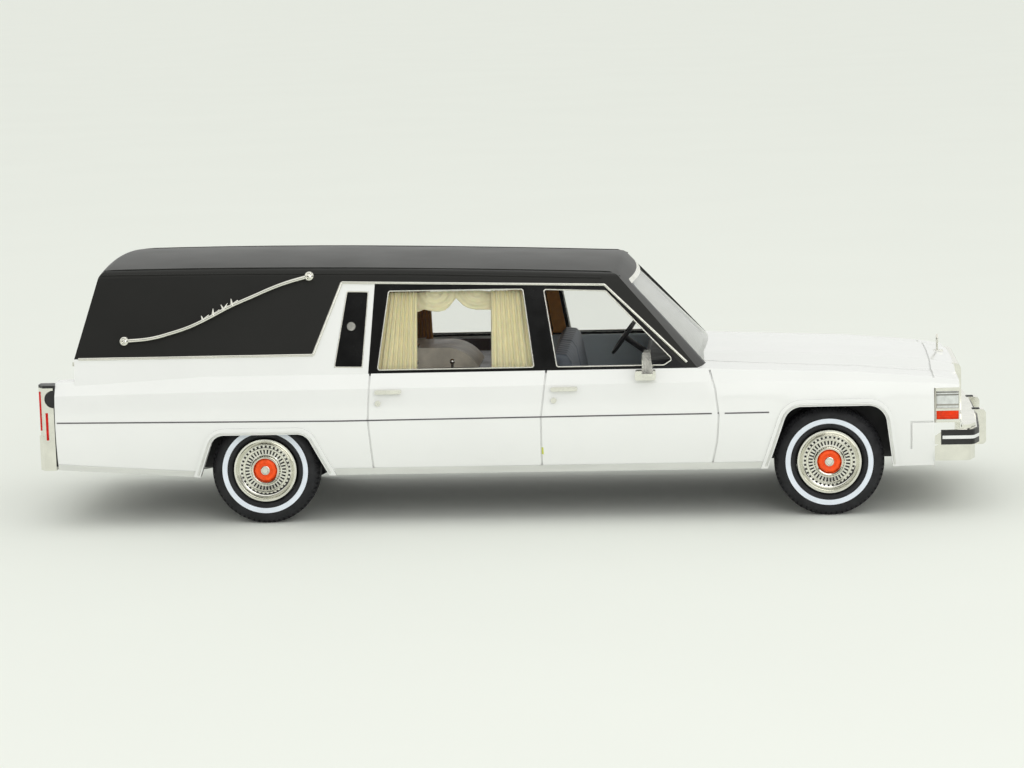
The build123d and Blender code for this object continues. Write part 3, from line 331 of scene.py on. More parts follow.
class Finish:
    """A material under construction: a principled shader with patterns over Object coordinates."""

    def __init__(self, name, roughness, metallic=0.0, **sockets):
        self.material = bpy.data.materials.new(name)
        self.material.use_nodes = True
        self.tree = self.material.node_tree
        self.shader = self.tree.nodes["Principled BSDF"]
        self.shader.inputs["Roughness"].default_value = roughness
        self.shader.inputs["Metallic"].default_value = metallic
        for socket, value in sockets.items():
            self.shader.inputs[socket.replace("_", " ")].default_value = value
        self.place = add_node(self.tree, "ShaderNodeTexCoord").outputs["Object"]
        self.normal = None

    def link(self, source, target):
        """Joins two sockets."""
        self.tree.links.new(source, target)

    def noise(self, size, detail=3.0, stretch=UNSTRETCHED):
        """Noise whose patches have a size in millimetres."""
        place = self.place
        if stretch != UNSTRETCHED:
            mapping = add_node(self.tree, "ShaderNodeMapping", {"Scale": stretch})
            self.link(place, mapping.inputs["Vector"])
            place = mapping.outputs["Vector"]
        noise = add_node(self.tree, "ShaderNodeTexNoise", {"Scale": 1.0 / (size * MM), "Detail": detail})
        self.link(place, noise.inputs["Vector"])
        return noise.outputs["Fac"]

    def waves(self, size, axis, distortion=0.0):
        """Even bands across one axis, with a spacing in millimetres."""
        waves = add_node(
            self.tree,
            "ShaderNodeTexWave",
            {"Scale": math.tau / (20.0 * size * MM), "Distortion": distortion},
            bands_direction=axis,
        )
        self.link(self.place, waves.inputs["Vector"])
        return waves.outputs["Fac"]

    def ramp(self, factor, low, high, start=0.35, end=0.65):
        """Colours between low and high, by a factor."""
        ramp = add_node(self.tree, "ShaderNodeValToRGB")
        ramp.color_ramp.elements[0].position = start
        ramp.color_ramp.elements[1].position = end
        ramp.color_ramp.elements[0].color = (*low, 1.0)
        ramp.color_ramp.elements[1].color = (*high, 1.0)
        self.link(factor, ramp.inputs["Fac"])
        return ramp.outputs["Color"]

    def span(self, factor, low, high, start=0.3, end=0.7):
        """A number between low and high, by a factor."""
        span = add_node(
            self.tree,
            "ShaderNodeMapRange",
            {"From Min": start, "From Max": end, "To Min": low, "To Max": high},
        )
        self.link(factor, span.inputs["Value"])
        return span.outputs["Result"]

    def paint(self, color, shade, size, stretch=UNSTRETCHED):
        """Colour that varies in soft patches."""
        low = [max(0.0, c * (1 - shade)) for c in color]
        high = [min(1.0, c * (1 + shade)) for c in color]
        self.colour = self.ramp(self.noise(size, stretch=stretch), low, high)
        self.link(self.colour, self.shader.inputs["Base Color"])
        return self

    def gloss(self, low, high, size):
        """Roughness that varies in patches."""
        self.link(self.span(self.noise(size), low, high), self.shader.inputs["Roughness"])
        return self

    def relief(self, height, strength, depth):
        """Bump from a height pattern, with a depth in millimetres, on top of any before it."""
        bump = add_node(self.tree, "ShaderNodeBump", {"Strength": strength, "Distance": depth * MM})
        self.link(height, bump.inputs["Height"])
        if self.normal is not None:
            self.link(self.normal, bump.inputs["Normal"])
        self.normal = bump.outputs["Normal"]
        self.link(self.normal, self.shader.inputs["Normal"])
        return self

    def surface(self, color, patches, gloss, grain, stretch=UNSTRETCHED):
        """Paint, gloss and grain in one, with sizes in millimetres.

        patches: the share by which the colour varies, and the patches' size
        gloss: the lowest and the highest roughness, and the patches' size
        grain: size, detail, strength and depth of the bump
        """
        self.paint(color, *patches, stretch).gloss(*gloss)
        size, detail, strength, depth = grain
        return self.relief(self.noise(size, detail), strength, depth)

    def within(self, axis, middle, reach):
        """1 where a coordinate lies near a value, both in millimetres."""
        split = add_node(self.tree, "ShaderNodeSeparateXYZ")
        self.link(self.place, split.inputs["Vector"])
        test = add_node(self.tree, "ShaderNodeMath", operation="COMPARE")
        test.inputs[1].default_value = middle * MM
        test.inputs[2].default_value = reach * MM
        self.link(split.outputs[axis], test.inputs[0])
        return test.outputs["Value"]

    def cover(self, factor, color):
        """Lays another colour over the paint, where a factor says so."""
        mix = add_node(self.tree, "ShaderNodeMix", data_type="RGBA")
        colour_inputs = [socket for socket in mix.inputs if socket.type == "RGBA"]
        colour_inputs[1].default_value = (*color, 1.0)
        self.link(factor, mix.inputs[0])
        self.link(self.colour, colour_inputs[0])
        self.colour = next(socket for socket in mix.outputs if socket.type == "RGBA")
        self.link(self.colour, self.shader.inputs["Base Color"])
        return self

    def see_through(self, facing, grazing, facing_color, painted_reflection_color):
        """Lets light through, less so at a glancing angle, where the colour also turns paler: a painted reflection.
        """
        weight = add_node(self.tree, "ShaderNodeLayerWeight", {"Blend": 0.35}).outputs["Fresnel"]
        self.link(self.span(weight, facing, grazing, 0.04, 1.0), self.shader.inputs["Alpha"])
        self.colour = self.ramp(weight, facing_color, painted_reflection_color, 0.06, 0.3)
        self.link(self.colour, self.shader.inputs["Base Color"])
        return self


def make_finishes(settings):
    """Every finish of the model, by name."""
    made = {}
    plating = settings.chrome_color
    # Each finish's key, the finish, and its colour, patches, gloss, grain and, where it has one, stretch
    for key, finish, *looks in (
        ("white_paint", Finish("white_gloss_paint", 0.2, Coat_Weight=0.5, Coat_Roughness=0.04),
         settings.body_color, (0.012, 14.0), (0.17, 0.25, 9.0), (1.6, 3.0, 0.05, 0.02)),
        ("black_roof",
         Finish("black_satin_roof", 0.42, Specular_IOR_Level=0.33, Specular_Tint=(1.0, 0.99, 0.93, 1.0)),
         settings.roof_color, (0.06, 9.0), (0.40, 0.45, 9.0), (0.16, 4.0, 0.22, 0.03)),
        ("black_gloss",
         Finish("black_gloss_trim", 0.16, Coat_Weight=0.12, Coat_Roughness=0.08, Specular_IOR_Level=0.2),
         (0.006, 0.006, 0.006), (0.2, 3.0), (0.12, 0.22, 3.0), (0.8, 3.0, 0.05, 0.02)),
        ("black_plastic", Finish("black_moulded_plastic", 0.5),
         (0.016, 0.016, 0.017), (0.25, 4.0), (0.42, 0.6, 3.0), (0.2, 4.0, 0.2, 0.03)),
        ("black_rubber", Finish("black_rub_strip", 0.4),
         (0.012, 0.012, 0.012), (0.25, 2.0), (0.33, 0.5, 2.0), (0.12, 3.0, 0.15, 0.02)),
        ("tyre_rubber", Finish("tyre_rubber", 0.6, Specular_IOR_Level=0.35),
         (0.014, 0.014, 0.016), (0.3, 1.6), (0.5, 0.72, 1.2), (0.14, 4.0, 0.25, 0.03)),
        ("whitewall", Finish("whitewall_band", 0.45),
         (0.74, 0.79, 0.86), (0.03, 1.0), (0.4, 0.5, 1.0), (0.2, 3.0, 0.1, 0.02)),
        ("chrome_plate", Finish("chrome_plate", 0.12, 1.0),
         plating, (0.05, 1.8), (0.07, 0.2, 2.4), (0.9, 3.0, 0.12, 0.03)),
        ("bright_metal", Finish("bright_trim_metal", 0.2, 1.0),
         plating, (0.06, 1.2), (0.14, 0.28, 1.5), (0.5, 3.0, 0.1, 0.02), (0.2, 1.0, 1.0)),
        ("satin_metal", Finish("satin_trim_metal", 0.38, 0.6),
         (0.74, 0.745, 0.72), (0.05, 1.5), (0.32, 0.45, 2.0), (0.3, 3.0, 0.12, 0.02), (0.15, 1.0, 1.0)),
        ("orange_paint", Finish("orange_cap_paint", 0.3, Specular_IOR_Level=0.3),
         settings.cap_color, (0.1, 0.8), (0.24, 0.36, 0.8), (0.3, 3.0, 0.08, 0.02)),
        ("plate_white", Finish("blank_plate_white", 0.4),
         (0.78, 0.79, 0.78), (0.03, 1.5), (0.34, 0.46, 1.5), (0.3, 3.0, 0.08, 0.02)),
        ("interior_trim", Finish("dark_cabin_plastic", 0.42),
         (0.018, 0.017, 0.018), (0.14, 2.5), (0.34, 0.52, 2.0), (0.22, 4.0, 0.18, 0.03)),
        ("deck_trim", Finish("brown_deck_plastic", 0.42),
         (0.08, 0.056, 0.052), (0.14, 2.5), (0.34, 0.52, 2.0), (0.22, 4.0, 0.18, 0.03)),
        ("table_trim", Finish("grey_table_plastic", 0.42),
         (0.74, 0.69, 0.57), (0.14, 2.5), (0.34, 0.52, 2.0), (0.22, 4.0, 0.18, 0.03)),
        ("seat_trim", Finish("slate_seat_trim", 0.45, Sheen_Weight=0.15),
         (0.11, 0.13, 0.16), (0.12, 1.4), (0.4, 0.56, 1.2), (0.18, 4.0, 0.2, 0.03)),
        ("grille_plate", Finish("plated_grille", 0.15, 1.0),
         plating, (0.05, 1.5), (0.1, 0.22, 1.5), (0.6, 3.0, 0.1, 0.02)),
        ("windshield_reveal", Finish("windshield_reveal", 0.2, 1.0),
         plating, (0.05, 1.2), (0.14, 0.28, 1.5), (0.5, 3.0, 0.1, 0.02)),
        ("stripe_paint", Finish("stripe_paint", 0.4),
         (0.10, 0.095, 0.10), (0.12, 2.0), (0.34, 0.46, 2.0), (0.2, 3.0, 0.06, 0.01)),
        ("wheel_slot", Finish("wheel_slot_shadow", 0.5),
         (0.02, 0.02, 0.02), (0.2, 0.5), (0.4, 0.6, 0.5), (0.2, 3.0, 0.1, 0.02)),
    ):
        made[key] = finish.surface(*looks)

    white = made["white_paint"]
    mark = white.within(*MARK[0])
    for where in MARK[1:]:
        mark = multiply(white.tree, mark, white.within(*where))
    white.cover(mark, (0.62, 0.66, 0.12))

    # The table's grooves, the paler cab, painted shade in the grille's recess behind its bars, and the windshield's
    # black pillars
    made["table_trim"].relief(made["table_trim"].waves(1.6, "Y", 0.2), 0.3, 0.12)
    cab = made["interior_trim"]
    cab.cover(cab.within("X", 25.0, 23.0), (0.60, 0.68, 0.72))
    grille = made["grille_plate"]
    # Painted shade: black over the plating at the grille's back, standing in for the shade in its recess
    grille.cover(grille.within("X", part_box("grille")[0].x / MM, 1.5), (0.012, 0.012, 0.012))
    reveal = made["windshield_reveal"]
    pillar = reveal.within("Z", 20.0, 15.0)
    reveal.cover(pillar, (0.014, 0.014, 0.014))
    reveal.link(reveal.span(pillar, 1.0, 0.0, 0.0, 1.0), reveal.shader.inputs["Metallic"])

    steel = Finish("axle_steel", 0.3, 1.0)
    steel.paint((0.45, 0.45, 0.46), 0.1, 1.0, (1.0, 0.2, 1.0)).gloss(0.25, 0.4, 1.0)
    steel.relief(steel.noise(0.25, stretch=(1.0, 0.2, 1.0)), 0.15, 0.02)
    made["axle_steel"] = steel

    # Clear glazing: its pale colour at a glancing angle is a painted reflection
    glass = Finish("clear_glazing", 0.03, Specular_IOR_Level=1.0)
    glass.gloss(0.02, 0.05, 6.0).see_through(0.03, 1.0, (0.05, 0.05, 0.05), (0.93, 0.94, 0.91))
    glass.relief(glass.noise(5.0), 0.05, 0.03)
    made["clear_glass"] = glass

    # The lens's pale silvery colour is a painted reflection, paler still at a glancing angle
    lamp = Finish("clear_fluted_lens", 0.06, Specular_IOR_Level=1.0, Coat_Weight=0.5)
    lamp.gloss(0.04, 0.1, 1.0).see_through(0.3, 0.95, (0.72, 0.74, 0.73), (0.86, 0.87, 0.85))
    lamp.relief(lamp.waves(0.38, "Y"), 0.5, 0.06).relief(lamp.waves(0.6, "Z"), 0.3, 0.04)
    made["lamp_glass"] = lamp

    corner = Finish("corner_lens", 0.08, Specular_IOR_Level=0.8)
    corner.paint((0.62, 0.64, 0.62), 0.1, 0.7).gloss(0.05, 0.14, 0.8)
    corner.relief(corner.waves(0.5, "X"), 0.3, 0.04)
    corner_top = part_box("corner_lenses")[1].z / MM
    # Each dark line's depth below the lens's top, its half width and its shade
    for drop, reach, shade in ((0.16, 0.08, 0.10), (0.55, 0.1, 0.16), (2.05, 0.13, 0.30)):
        corner.cover(corner.within("Z", corner_top - drop, reach), (shade, shade * 0.97, shade * 0.85))
    made["corner_lens"] = corner

    for key, name, color in (
        ("amber_lens", "amber_side_lens", settings.amber_color),
        ("red_lens", "red_tail_lens", (0.56, 0.012, 0.010)),
    ):
        lens = Finish(name, 0.16, Specular_IOR_Level=0.2)
        lens.paint(color, 0.16, 0.7).gloss(0.1, 0.2, 0.8)
        made[key] = lens.relief(lens.waves(0.34, "Z"), 0.45, 0.05)

    # The curtains' inner face is painted brown: painted shade standing in for the cream cloth's shaded back
    back_shade = Finish("brown_painted_shade_cloth", 0.85, Sheen_Weight=0.3)
    back_shade.paint((0.50, 0.22, 0.045), 0.1, 1.0)
    back_shade.relief(back_shade.waves(0.22, "X"), 0.35, 0.03).relief(back_shade.waves(0.22, "Z"), 0.35, 0.03)
    made["lining_cloth"] = back_shade

    cloth = Finish("cream_curtain_cloth", 0.8, Sheen_Weight=0.25, Subsurface_Weight=0.1, Subsurface_Scale=0.0006)
    cloth.paint(settings.curtain_color, 0.03, 2.0)
    made["curtain_cloth"] = cloth.relief(cloth.waves(0.14, "Z", 0.2), 0.08, 0.01)
    return {key: finish.material for key, finish in made.items()}


finishes = {}


def paint_node(node, material):
    """Gives a carried-over node its material."""
    piece = frame["nodes"][node]
    for slot in piece.material_slots:
        slot.material = material
    if not piece.material_slots:
        piece.data.materials.append(material)


# Sizes and colours

def length(name, description, value):
    """A length property whose default is given in millimetres."""
    return FloatProperty(
        name=name, description=description, default=value * MM, min=0.0, precision=6, subtype="DISTANCE"
    )


def colour(name, description, value):
    """A colour property."""
    return FloatVectorProperty(
        name=name, description=description, default=value, min=0.0, max=1.0, subtype="COLOR"
    )


def whole_number(name, description, value, least):
    """A property that counts something."""
    return IntProperty(name=name, description=description, default=value, min=least, subtype="UNSIGNED")


def power(name, description, value):
    """A lamp's power in watts."""
    return FloatProperty(name=name, description=description, default=value, min=0.0, unit="POWER")


class PaintSettings(bpy.types.PropertyGroup):
    """Colours of the paint, the plating, the side lenses and the curtains."""

    body_color: colour("Body", "Gloss paint of the body", (0.80, 0.805, 0.79))
    roof_color: colour("Roof", "Satin black of the landau roof", (0.008, 0.008, 0.008))
    chrome_color: colour("Plating", "Tint of the plated pieces", (0.79, 0.78, 0.71))
    cap_color: colour("Caps", "Paint of the wheel centres", (0.92, 0.085, 0.008))
    amber_color: colour("Side lens", "Colour of the low front side lenses", (0.74, 0.035, 0.001))
    curtain_color: colour("Curtains", "Colour of the curtain cloth", (0.94, 0.86, 0.58))


class WheelSettings(bpy.types.PropertyGroup):
    """Tyres, wheel covers and caps."""

    tyre_half: length("Tyre half width", "Half of the tyre's section width", 2.35)
    tyre_radius: length("Tyre radius", "Outer radius of the tread", 8.25)
    band_inner: length("Band inner radius", "Inner edge of the white band", 5.9)
    band_outer: length("Band outer radius", "Outer edge of the white band", 6.55)
    tread_steps: whole_number("Tread steps", "Facets around the tyre, two for each shoulder rib", 128, 16)
    cover_steps: whole_number("Cover steps", "Facets around the cover, two for each slot", 72, 16)
    slot_depth: length("Slot depth", "Depth of the cover's slots", 0.3)
    cap_sides: whole_number("Cap sides", "Flats around the centre cap", 10, 3)


class TrimSettings(bpy.types.PropertyGroup):
    """Stripes, beads and bars on the body and the roof."""

    stripe_width: length("Stripe width", "Width of the pin stripe", 0.2)
    stripe_lift: length("Stripe thickness", "Thickness of the stripe, apart from its root", 0.03)
    bead_radius: length("Bead radius", "Radius of the beads along the roof's edge", 0.13)
    lip_radius: length("Lip radius", "Radius of the bright lips around the wheel arches", 0.17)
    moulding_radius: length("Moulding radius", "Radius of the mouldings along the belt and the drip rail", 0.22)
    window_bead_radius: length("Window bead radius", "Radius of the beads around the windows", 0.1)
    bar_radius: length("Bar radius", "Radius of the landau bars", 0.3)
    leaf_radius: length("Leaf radius", "Radius at the foot of the leaves along the bars", 0.32)
    knob_radius: length("Knob radius", "Radius of the bosses at the bars' ends", 0.72)


class CurtainSettings(bpy.types.PropertyGroup):
    """Curtains and valances inside the rear door windows."""

    pleats: whole_number("Pleats", "Pleats across each curtain", 8, 1)
    pleat_depth: length("Pleat depth", "Height of a pleat above the curtain's middle", 0.3)
    setback: length("Setback", "Distance of the cloth inside the cabin's skin", 1.78)
    thickness: length("Thickness", "Thickness of the cloth", 0.1)


class StageSettings(bpy.types.PropertyGroup):
    """Floor, lights and camera."""

    floor_color: colour("Floor", "Colour of the floor", (0.84, 0.86, 0.81))
    world_color: colour("World", "Colour of the light all around", (0.93, 0.94, 0.91))
    key_power: power("Key light", "Power of the large lamp above", 0.2)
    fill_power: power("Fill light", "Power of the lamp beside the camera", 1.5)
    lens: FloatProperty(name="Lens", description="Focal length of the camera", default=105.34, unit="CAMERA")


# The stage

# Each lamp's place and size, and the point that they face, in metres
KEY_PLACE, KEY_SIZE = (0.05, -0.25, 0.75), 0.8
FILL_PLACE, FILL_SIZE = (0.25, -0.75, 0.3), 0.5
LAMP_TARGET = Vector((0, 0, 0.02))
# Between these directions the dark room fades in: towards the camera along Y, and below the pale ceiling along Z
DARK_FADES = (("Y", -0.05, -0.35), ("Z", 0.5, 0.3))
# The camera fitted to the photograph: its turns in degrees, and its target and distance in metres
YAW, PITCH, ROLL = 4.409, 8.498, -1.673
CAMERA_TARGET = Vector((0.00061, -0.021, 0.02096))
CAMERA_DISTANCE = 0.45


class STAGE_OT_studio(bpy.types.Operator):
    """Adds the floor, the lights, the background and the camera."""

    bl_idname = "hearse.studio"
    bl_label = "Studio"

    def execute(self, context):
        settings = context.scene.hearse_stage
        deselect_all()
        bpy.ops.mesh.primitive_plane_add(size=30.0, location=(0, 0, 0))
        floor = context.object
        floor.name = "studio_floor"
        paper = Finish("floor_paper", 0.9)
        paper.paint(settings.floor_color, 0.005, 60.0)
        paper.relief(paper.noise(0.8), 0.1, 0.03)
        floor.data.materials.append(paper.material)
        self.light_world(context)
        for name, spot, size, power in (
            ("key_lamp", KEY_PLACE, KEY_SIZE, settings.key_power),
            ("fill_lamp", FILL_PLACE, FILL_SIZE, settings.fill_power),
        ):
            data = bpy.data.lights.new(name, "AREA")
            data.size = size
            data.energy = power
            lamp = bpy.data.objects.new(name, data)
            context.collection.objects.link(lamp)
            lamp.location = spot
            lamp.rotation_euler = (LAMP_TARGET - Vector(spot)).to_track_quat("-Z", "Y").to_euler()
        self.place_camera(context, settings.lens)
        context.scene.view_settings.view_transform = "Standard"
        return {"FINISHED"}

    def light_world(self, context):
        """A pale world, with the dark room behind the camera only in reflections."""
        world = bpy.data.worlds.new("studio_world")
        context.scene.world = world
        world.use_nodes = True
        tree = world.node_tree
        background = tree.nodes["Background"]
        background.inputs["Strength"].default_value = 1.0
        split = add_node(tree, "ShaderNodeSeparateXYZ")
        tree.links.new(add_node(tree, "ShaderNodeTexCoord").outputs["Generated"], split.inputs["Vector"])
        dark_share = add_node(tree, "ShaderNodeLightPath").outputs["Is Glossy Ray"]
        for axis, start, end in DARK_FADES:
            fade = add_node(
                tree, "ShaderNodeMapRange", {"From Min": start, "From Max": end}, interpolation_type="SMOOTHSTEP"
            )
            tree.links.new(split.outputs[axis], fade.inputs["Value"])
            dark_share = multiply(tree, dark_share, fade.outputs["Result"])
        ramp = add_node(tree, "ShaderNodeValToRGB")
        ramp.color_ramp.elements[0].color = (*context.scene.hearse_stage.world_color, 1.0)
        ramp.color_ramp.elements[1].color = (0.05, 0.05, 0.05, 1.0)
        tree.links.new(dark_share, ramp.inputs["Fac"])
        tree.links.new(ramp.outputs["Color"], background.inputs["Color"])

    def place_camera(self, context, lens):
        """A camera at the photograph's angle."""
        camera = bpy.data.objects.new("photo_camera", bpy.data.cameras.new("photo_camera"))
        context.collection.objects.link(camera)
        camera.data.lens = lens
        camera.data.sensor_width = 36.0
        camera.data.clip_start = 0.01
        yaw, pitch, roll = math.radians(YAW), math.radians(PITCH), math.radians(ROLL)
        ahead = Vector((-math.sin(yaw) * math.cos(pitch), math.cos(yaw) * math.cos(pitch), -math.sin(pitch)))
        right = Vector((math.cos(yaw), math.sin(yaw), 0))
        up = right.cross(ahead)
        turned_right = math.cos(roll) * right + math.sin(roll) * up
        turned_up = math.cos(roll) * up - math.sin(roll) * right
        camera.location = CAMERA_TARGET - ahead * CAMERA_DISTANCE
        camera.rotation_euler = Matrix((turned_right, turned_up, -ahead)).transposed().to_euler()
        context.scene.camera = camera


# Carried-over nodes

class BODY_OT_finish(bpy.types.Operator):
    """Makes every finish and gives the carried-over nodes theirs."""

    bl_idname = "hearse.finish_body"
    bl_label = "Paint and trim"

    def execute(self, context):
        finishes.update(make_finishes(context.scene.hearse_paint))
        for part in frame["record"]["subparts"]:
            paint_node(part["node"], finishes[part["material_slot"]])
        paint_node("grille", finishes["grille_plate"])
        paint_node("windshield_trim", finishes["windshield_reveal"])
        paint_node("corner_lenses", finishes["corner_lens"])
        return {"FINISHED"}


# Wheels

def wheel_places():
    """Each wheel's name, body, centre and turn about Z: the right-hand wheels face -Y."""
    half = bpy.context.scene.hearse_wheels.tyre_half
    for axle, centre in (("front", FRONT_AXLE), ("rear", REAR_AXLE)):
        for side, y, turn in (("right", TYRE_FACE + half, 0.0), ("left", -TYRE_FACE - half, math.pi)):
            yield axle, side, Vector((centre.x, y, centre.z)), turn


def spread_wheels(model, name, node):
    """Copies a wheel piece modelled about the origin to all four wheels."""
    for axle, side, centre, turn in wheel_places():
        piece = copy_piece(model, f"{axle}_{side}_{name}")
        place(piece, centre, (0, 0, turn))
        settle(piece, f"{axle}_wheelset", replaces=(f"{axle}_{node}",), angle=30.0)
    bpy.data.objects.remove(model)


def ring_step(centre, steps):
    """Which facet around the Y axis a point lies on."""
    return int((math.atan2(centre.z, centre.x) % math.tau) / (math.tau / steps))


def ring_radius(centre):
    """Distance of a point from the Y axis."""
    return math.hypot(centre.x, centre.z)


class WHEEL_OT_tyres(bpy.types.Operator):
    """Four whitewall tyres with raised bands, shoulder ribs and tread grooves."""

    bl_idname = "hearse.tyres"
    bl_label = "Tyres"

    def execute(self, context):
        settings = context.scene.hearse_wheels
        half, outer = settings.tyre_half, settings.tyre_radius
        band_in, band_out = settings.band_inner, settings.band_outer
        sidewall = [
            (5.0 * MM, half - 0.5 * MM),
            (5.15 * MM, half - 0.2 * MM),
            (5.35 * MM, half - 0.06 * MM),
            (band_in - 0.1 * MM, half - 0.03 * MM),
            (band_in, half + 0.05 * MM),
            (band_out, half + 0.05 * MM),
            (band_out + 0.08 * MM, half - 0.03 * MM),
            (7.0 * MM, half - 0.05 * MM),
            (7.35 * MM, half - 0.2 * MM),
            (outer - 0.55 * MM, half - 0.42 * MM),
            (outer - 0.2 * MM, half - 0.75 * MM),
            (outer - 0.03 * MM, half - 1.05 * MM),
            (outer, half - 1.3 * MM),
        ]
        floor = outer - 0.12 * MM
        groove = [(outer, 0.5 * MM), (floor, 0.45 * MM), (floor, 0.25 * MM), (outer, 0.2 * MM)]
        right = [(radius, -y) for radius, y in sidewall + groove]
        left = [(radius, y) for radius, y in reversed(sidewall + groove)]
        tyre = turn_solid("tyre_model", [*right, *left, right[0]], settings.tread_steps)
        tyre.data.materials.append(finishes["tyre_rubber"])
        tyre.data.materials.append(finishes["whitewall"])
        shoulder = (outer - 0.5 * MM, outer - 0.1 * MM)
        select_faces(
            tyre,
            lambda centre, normal: shoulder[0] < ring_radius(centre) < shoulder[1]
            and ring_step(centre, settings.tread_steps) % 2 == 0
            and abs(centre.y) > half - MM,
        )
        bpy.ops.mesh.inset(thickness=0.03 * MM, depth=-0.12 * MM, use_individual=True)
        select_faces(
            tyre,
            lambda centre, normal: band_in - 0.06 * MM < ring_radius(centre) < band_out + 0.02 * MM
            and centre.y < -half + 0.2 * MM,
        )
        give_selected(tyre, 1)
        close_edit()
        spread_wheels(tyre, "tyre", "tyres")
        return {"FINISHED"}


class WHEEL_OT_covers(bpy.types.Operator):
    """Four plated wheel covers with two rings of slots."""

    bl_idname = "hearse.wheel_covers"
    bl_label = "Wheel covers"

    def execute(self, context):
        settings = context.scene.hearse_wheels
        face = -settings.tyre_half
        slot_rings = ((2.5, 3.12), (3.5, 3.82))
        # Radius and depth behind the tyre's face, in millimetres
        outline = [
            (0.0, 0.72), (1.6, 0.72), (1.74, 0.4), (1.85, 0.16), (1.95, 0.14), (2.05, 0.3), (2.15, 0.22),
            (2.25, 0.42), (2.32, 0.5), (2.4, 0.5), slot_rings[0], slot_rings[1], (3.92, 0.42), (4.0, 0.34),
            (4.06, 0.4), (4.2, 0.24), (4.32, 0.1), (4.4, 0.2), (4.5, 0.08), (4.78, 0.1), (4.88, 0.26), (4.93, 0.6),
            (4.93, 2.2), (2.2, 2.2), (2.2, 4.1), (0.0, 4.1),
        ]
        rings = []
        for first, second in outline:
            if (first, second) == slot_rings[0]:
                rings += [(first, 0.56), (second, 0.5), (second + 0.1, 0.4), (slot_rings[1][0] - 0.1, 0.38)]
            elif (first, second) == slot_rings[1]:
                rings += [(first, 0.46), (second, 0.46)]
            else:
                rings.append((first, second))
        cover = turn_solid("cover_model", [(r * MM, face + d * MM) for r, d in rings], settings.cover_steps)
        cover.data.materials.append(finishes["chrome_plate"])
        cover.data.materials.append(finishes["wheel_slot"])
        for ring, (low, high) in enumerate(slot_rings):
            select_faces(
                cover,
                lambda centre, normal: low * MM < ring_radius(centre) < high * MM
                and ring_step(centre, settings.cover_steps) % 2 == ring % 2
                and centre.y < face + 0.6 * MM,
            )
            bpy.ops.mesh.inset(thickness=0.035 * MM, depth=-settings.slot_depth, use_individual=True)
            give_selected(cover, 1)
        close_edit()
        spread_wheels(cover, "wheel_cover", "wheel_covers")
        return {"FINISHED"}


class WHEEL_OT_caps(bpy.types.Operator):
    """Four orange centre caps with flats around them and a blank plated middle."""

    bl_idname = "hearse.wheel_caps"
    bl_label = "Wheel caps"

    def execute(self, context):
        settings = context.scene.hearse_wheels
        face = -settings.tyre_half + 0.7 * MM
        # Radius and height in front of the cover's middle, in millimetres
        body = [(0.0, 0.3), (1.0, 0.3), (1.12, 0.42), (1.5, 0.46), (1.66, 0.36), (1.74, 0.1), (1.74, 0.0), (0.0, 0.0)]
        middle = [
            (0.0, 0.62), (0.4, 0.6), (0.46, 0.52), (0.56, 0.52), (0.62, 0.62), (0.68, 0.6), (0.72, 0.3), (0.0, 0.3)
        ]
        cap = turn_solid("cap_model", [(r * MM, face - h * MM) for r, h in body], settings.cap_sides)
        close_edit()
        add_modifier(cap, "BEVEL", width=0.05 * MM, segments=2, angle_limit=math.radians(25))
        boss = turn_solid("boss_model", [(r * MM, face - h * MM) for r, h in middle], ROUND_STEPS)
        close_edit()
        cap.data.materials.append(finishes["orange_paint"])
        boss.data.materials.append(finishes["chrome_plate"])
        cap = join([cap, boss], "cap_model")
        spread_wheels(cap, "wheel_cap", "wheel_caps")
        return {"FINISHED"}


# Trim on the body

# Added to the pin stripe's own thickness, to root it in the body
STRIPE_ROOT = 0.02 * MM
# Distance of the landau bars' middle line from the cabin's side
BAR_LIFT = 0.62 * MM


def wrap_onto(piece, node, method="PROJECT"):
    """Lays a drawn line or band onto a node's surface."""
    settings = {"target": frame["nodes"][node], "wrap_method": method}
    if method == "PROJECT":
        settings.update(use_project_y=True, use_positive_direction=True, use_negative_direction=False)
    add_modifier(piece, "SHRINKWRAP", **settings)


def line_bar(name, points, radius, wrap=(), smooth=False):
    """A round bar along points, which are first laid onto a node where wrap gives one."""
    line = draw_line(name, points)
    close_edit()
    if wrap:
        wrap_onto(line, *wrap)
    return round_line(line, radius, smooth)


def side_points(line, y, spacing=1.2):
    """Points beside the body along a side view line in millimetres, evenly spaced."""
    points = []
    for (x0, z0), (x1, z1) in zip(line, line[1:]):
        count = max(1, round(math.hypot(x1 - x0, z1 - z0) / spacing))
        for step in range(count):
            share = step / count
            points.append(Vector(((x0 + (x1 - x0) * share) * MM, y, (z0 + (z1 - z0) * share) * MM)))
    points.append(Vector((line[-1][0] * MM, y, line[-1][1] * MM)))
    return points


class TRIM_OT_stripes(bpy.types.Operator):
    """A dark pin stripe along both sides of the body."""

    bl_idname = "hearse.pin_stripes"
    bl_label = "Pin stripes"

    def execute(self, context):
        settings = context.scene.hearse_trim
        # x and z along each stripe, in millimetres
        lines = ([(-68.7, 16.28), (-25.6, 15.91), (7.8, 16.03), (31.5, 16.10)], [(32.4, 16.10), (39.0, 16.12)])
        pieces = []
        for line in lines:
            piece = draw_line("stripe_model", side_points(line, BESIDE_BODY))
            select_whole()
            rise = (0, 0, settings.stripe_width)
            bpy.ops.mesh.extrude_region_move(TRANSFORM_OT_translate={"value": rise})
            close_edit()
            wrap_onto(piece, "body_shell")
            pieces.append(piece)
        stripe = join(pieces, "pin_stripes")
        mirror_across(stripe)
        edit(stripe)
        select_faces(stripe, lambda centre, normal: centre.y * normal.y < 0)
        bpy.ops.mesh.flip_normals()
        close_edit()
        add_modifier(stripe, "SOLIDIFY", thickness=settings.stripe_lift + STRIPE_ROOT, offset=0.6)
        settle(stripe, "model", finishes["stripe_paint"])
        return {"FINISHED"}


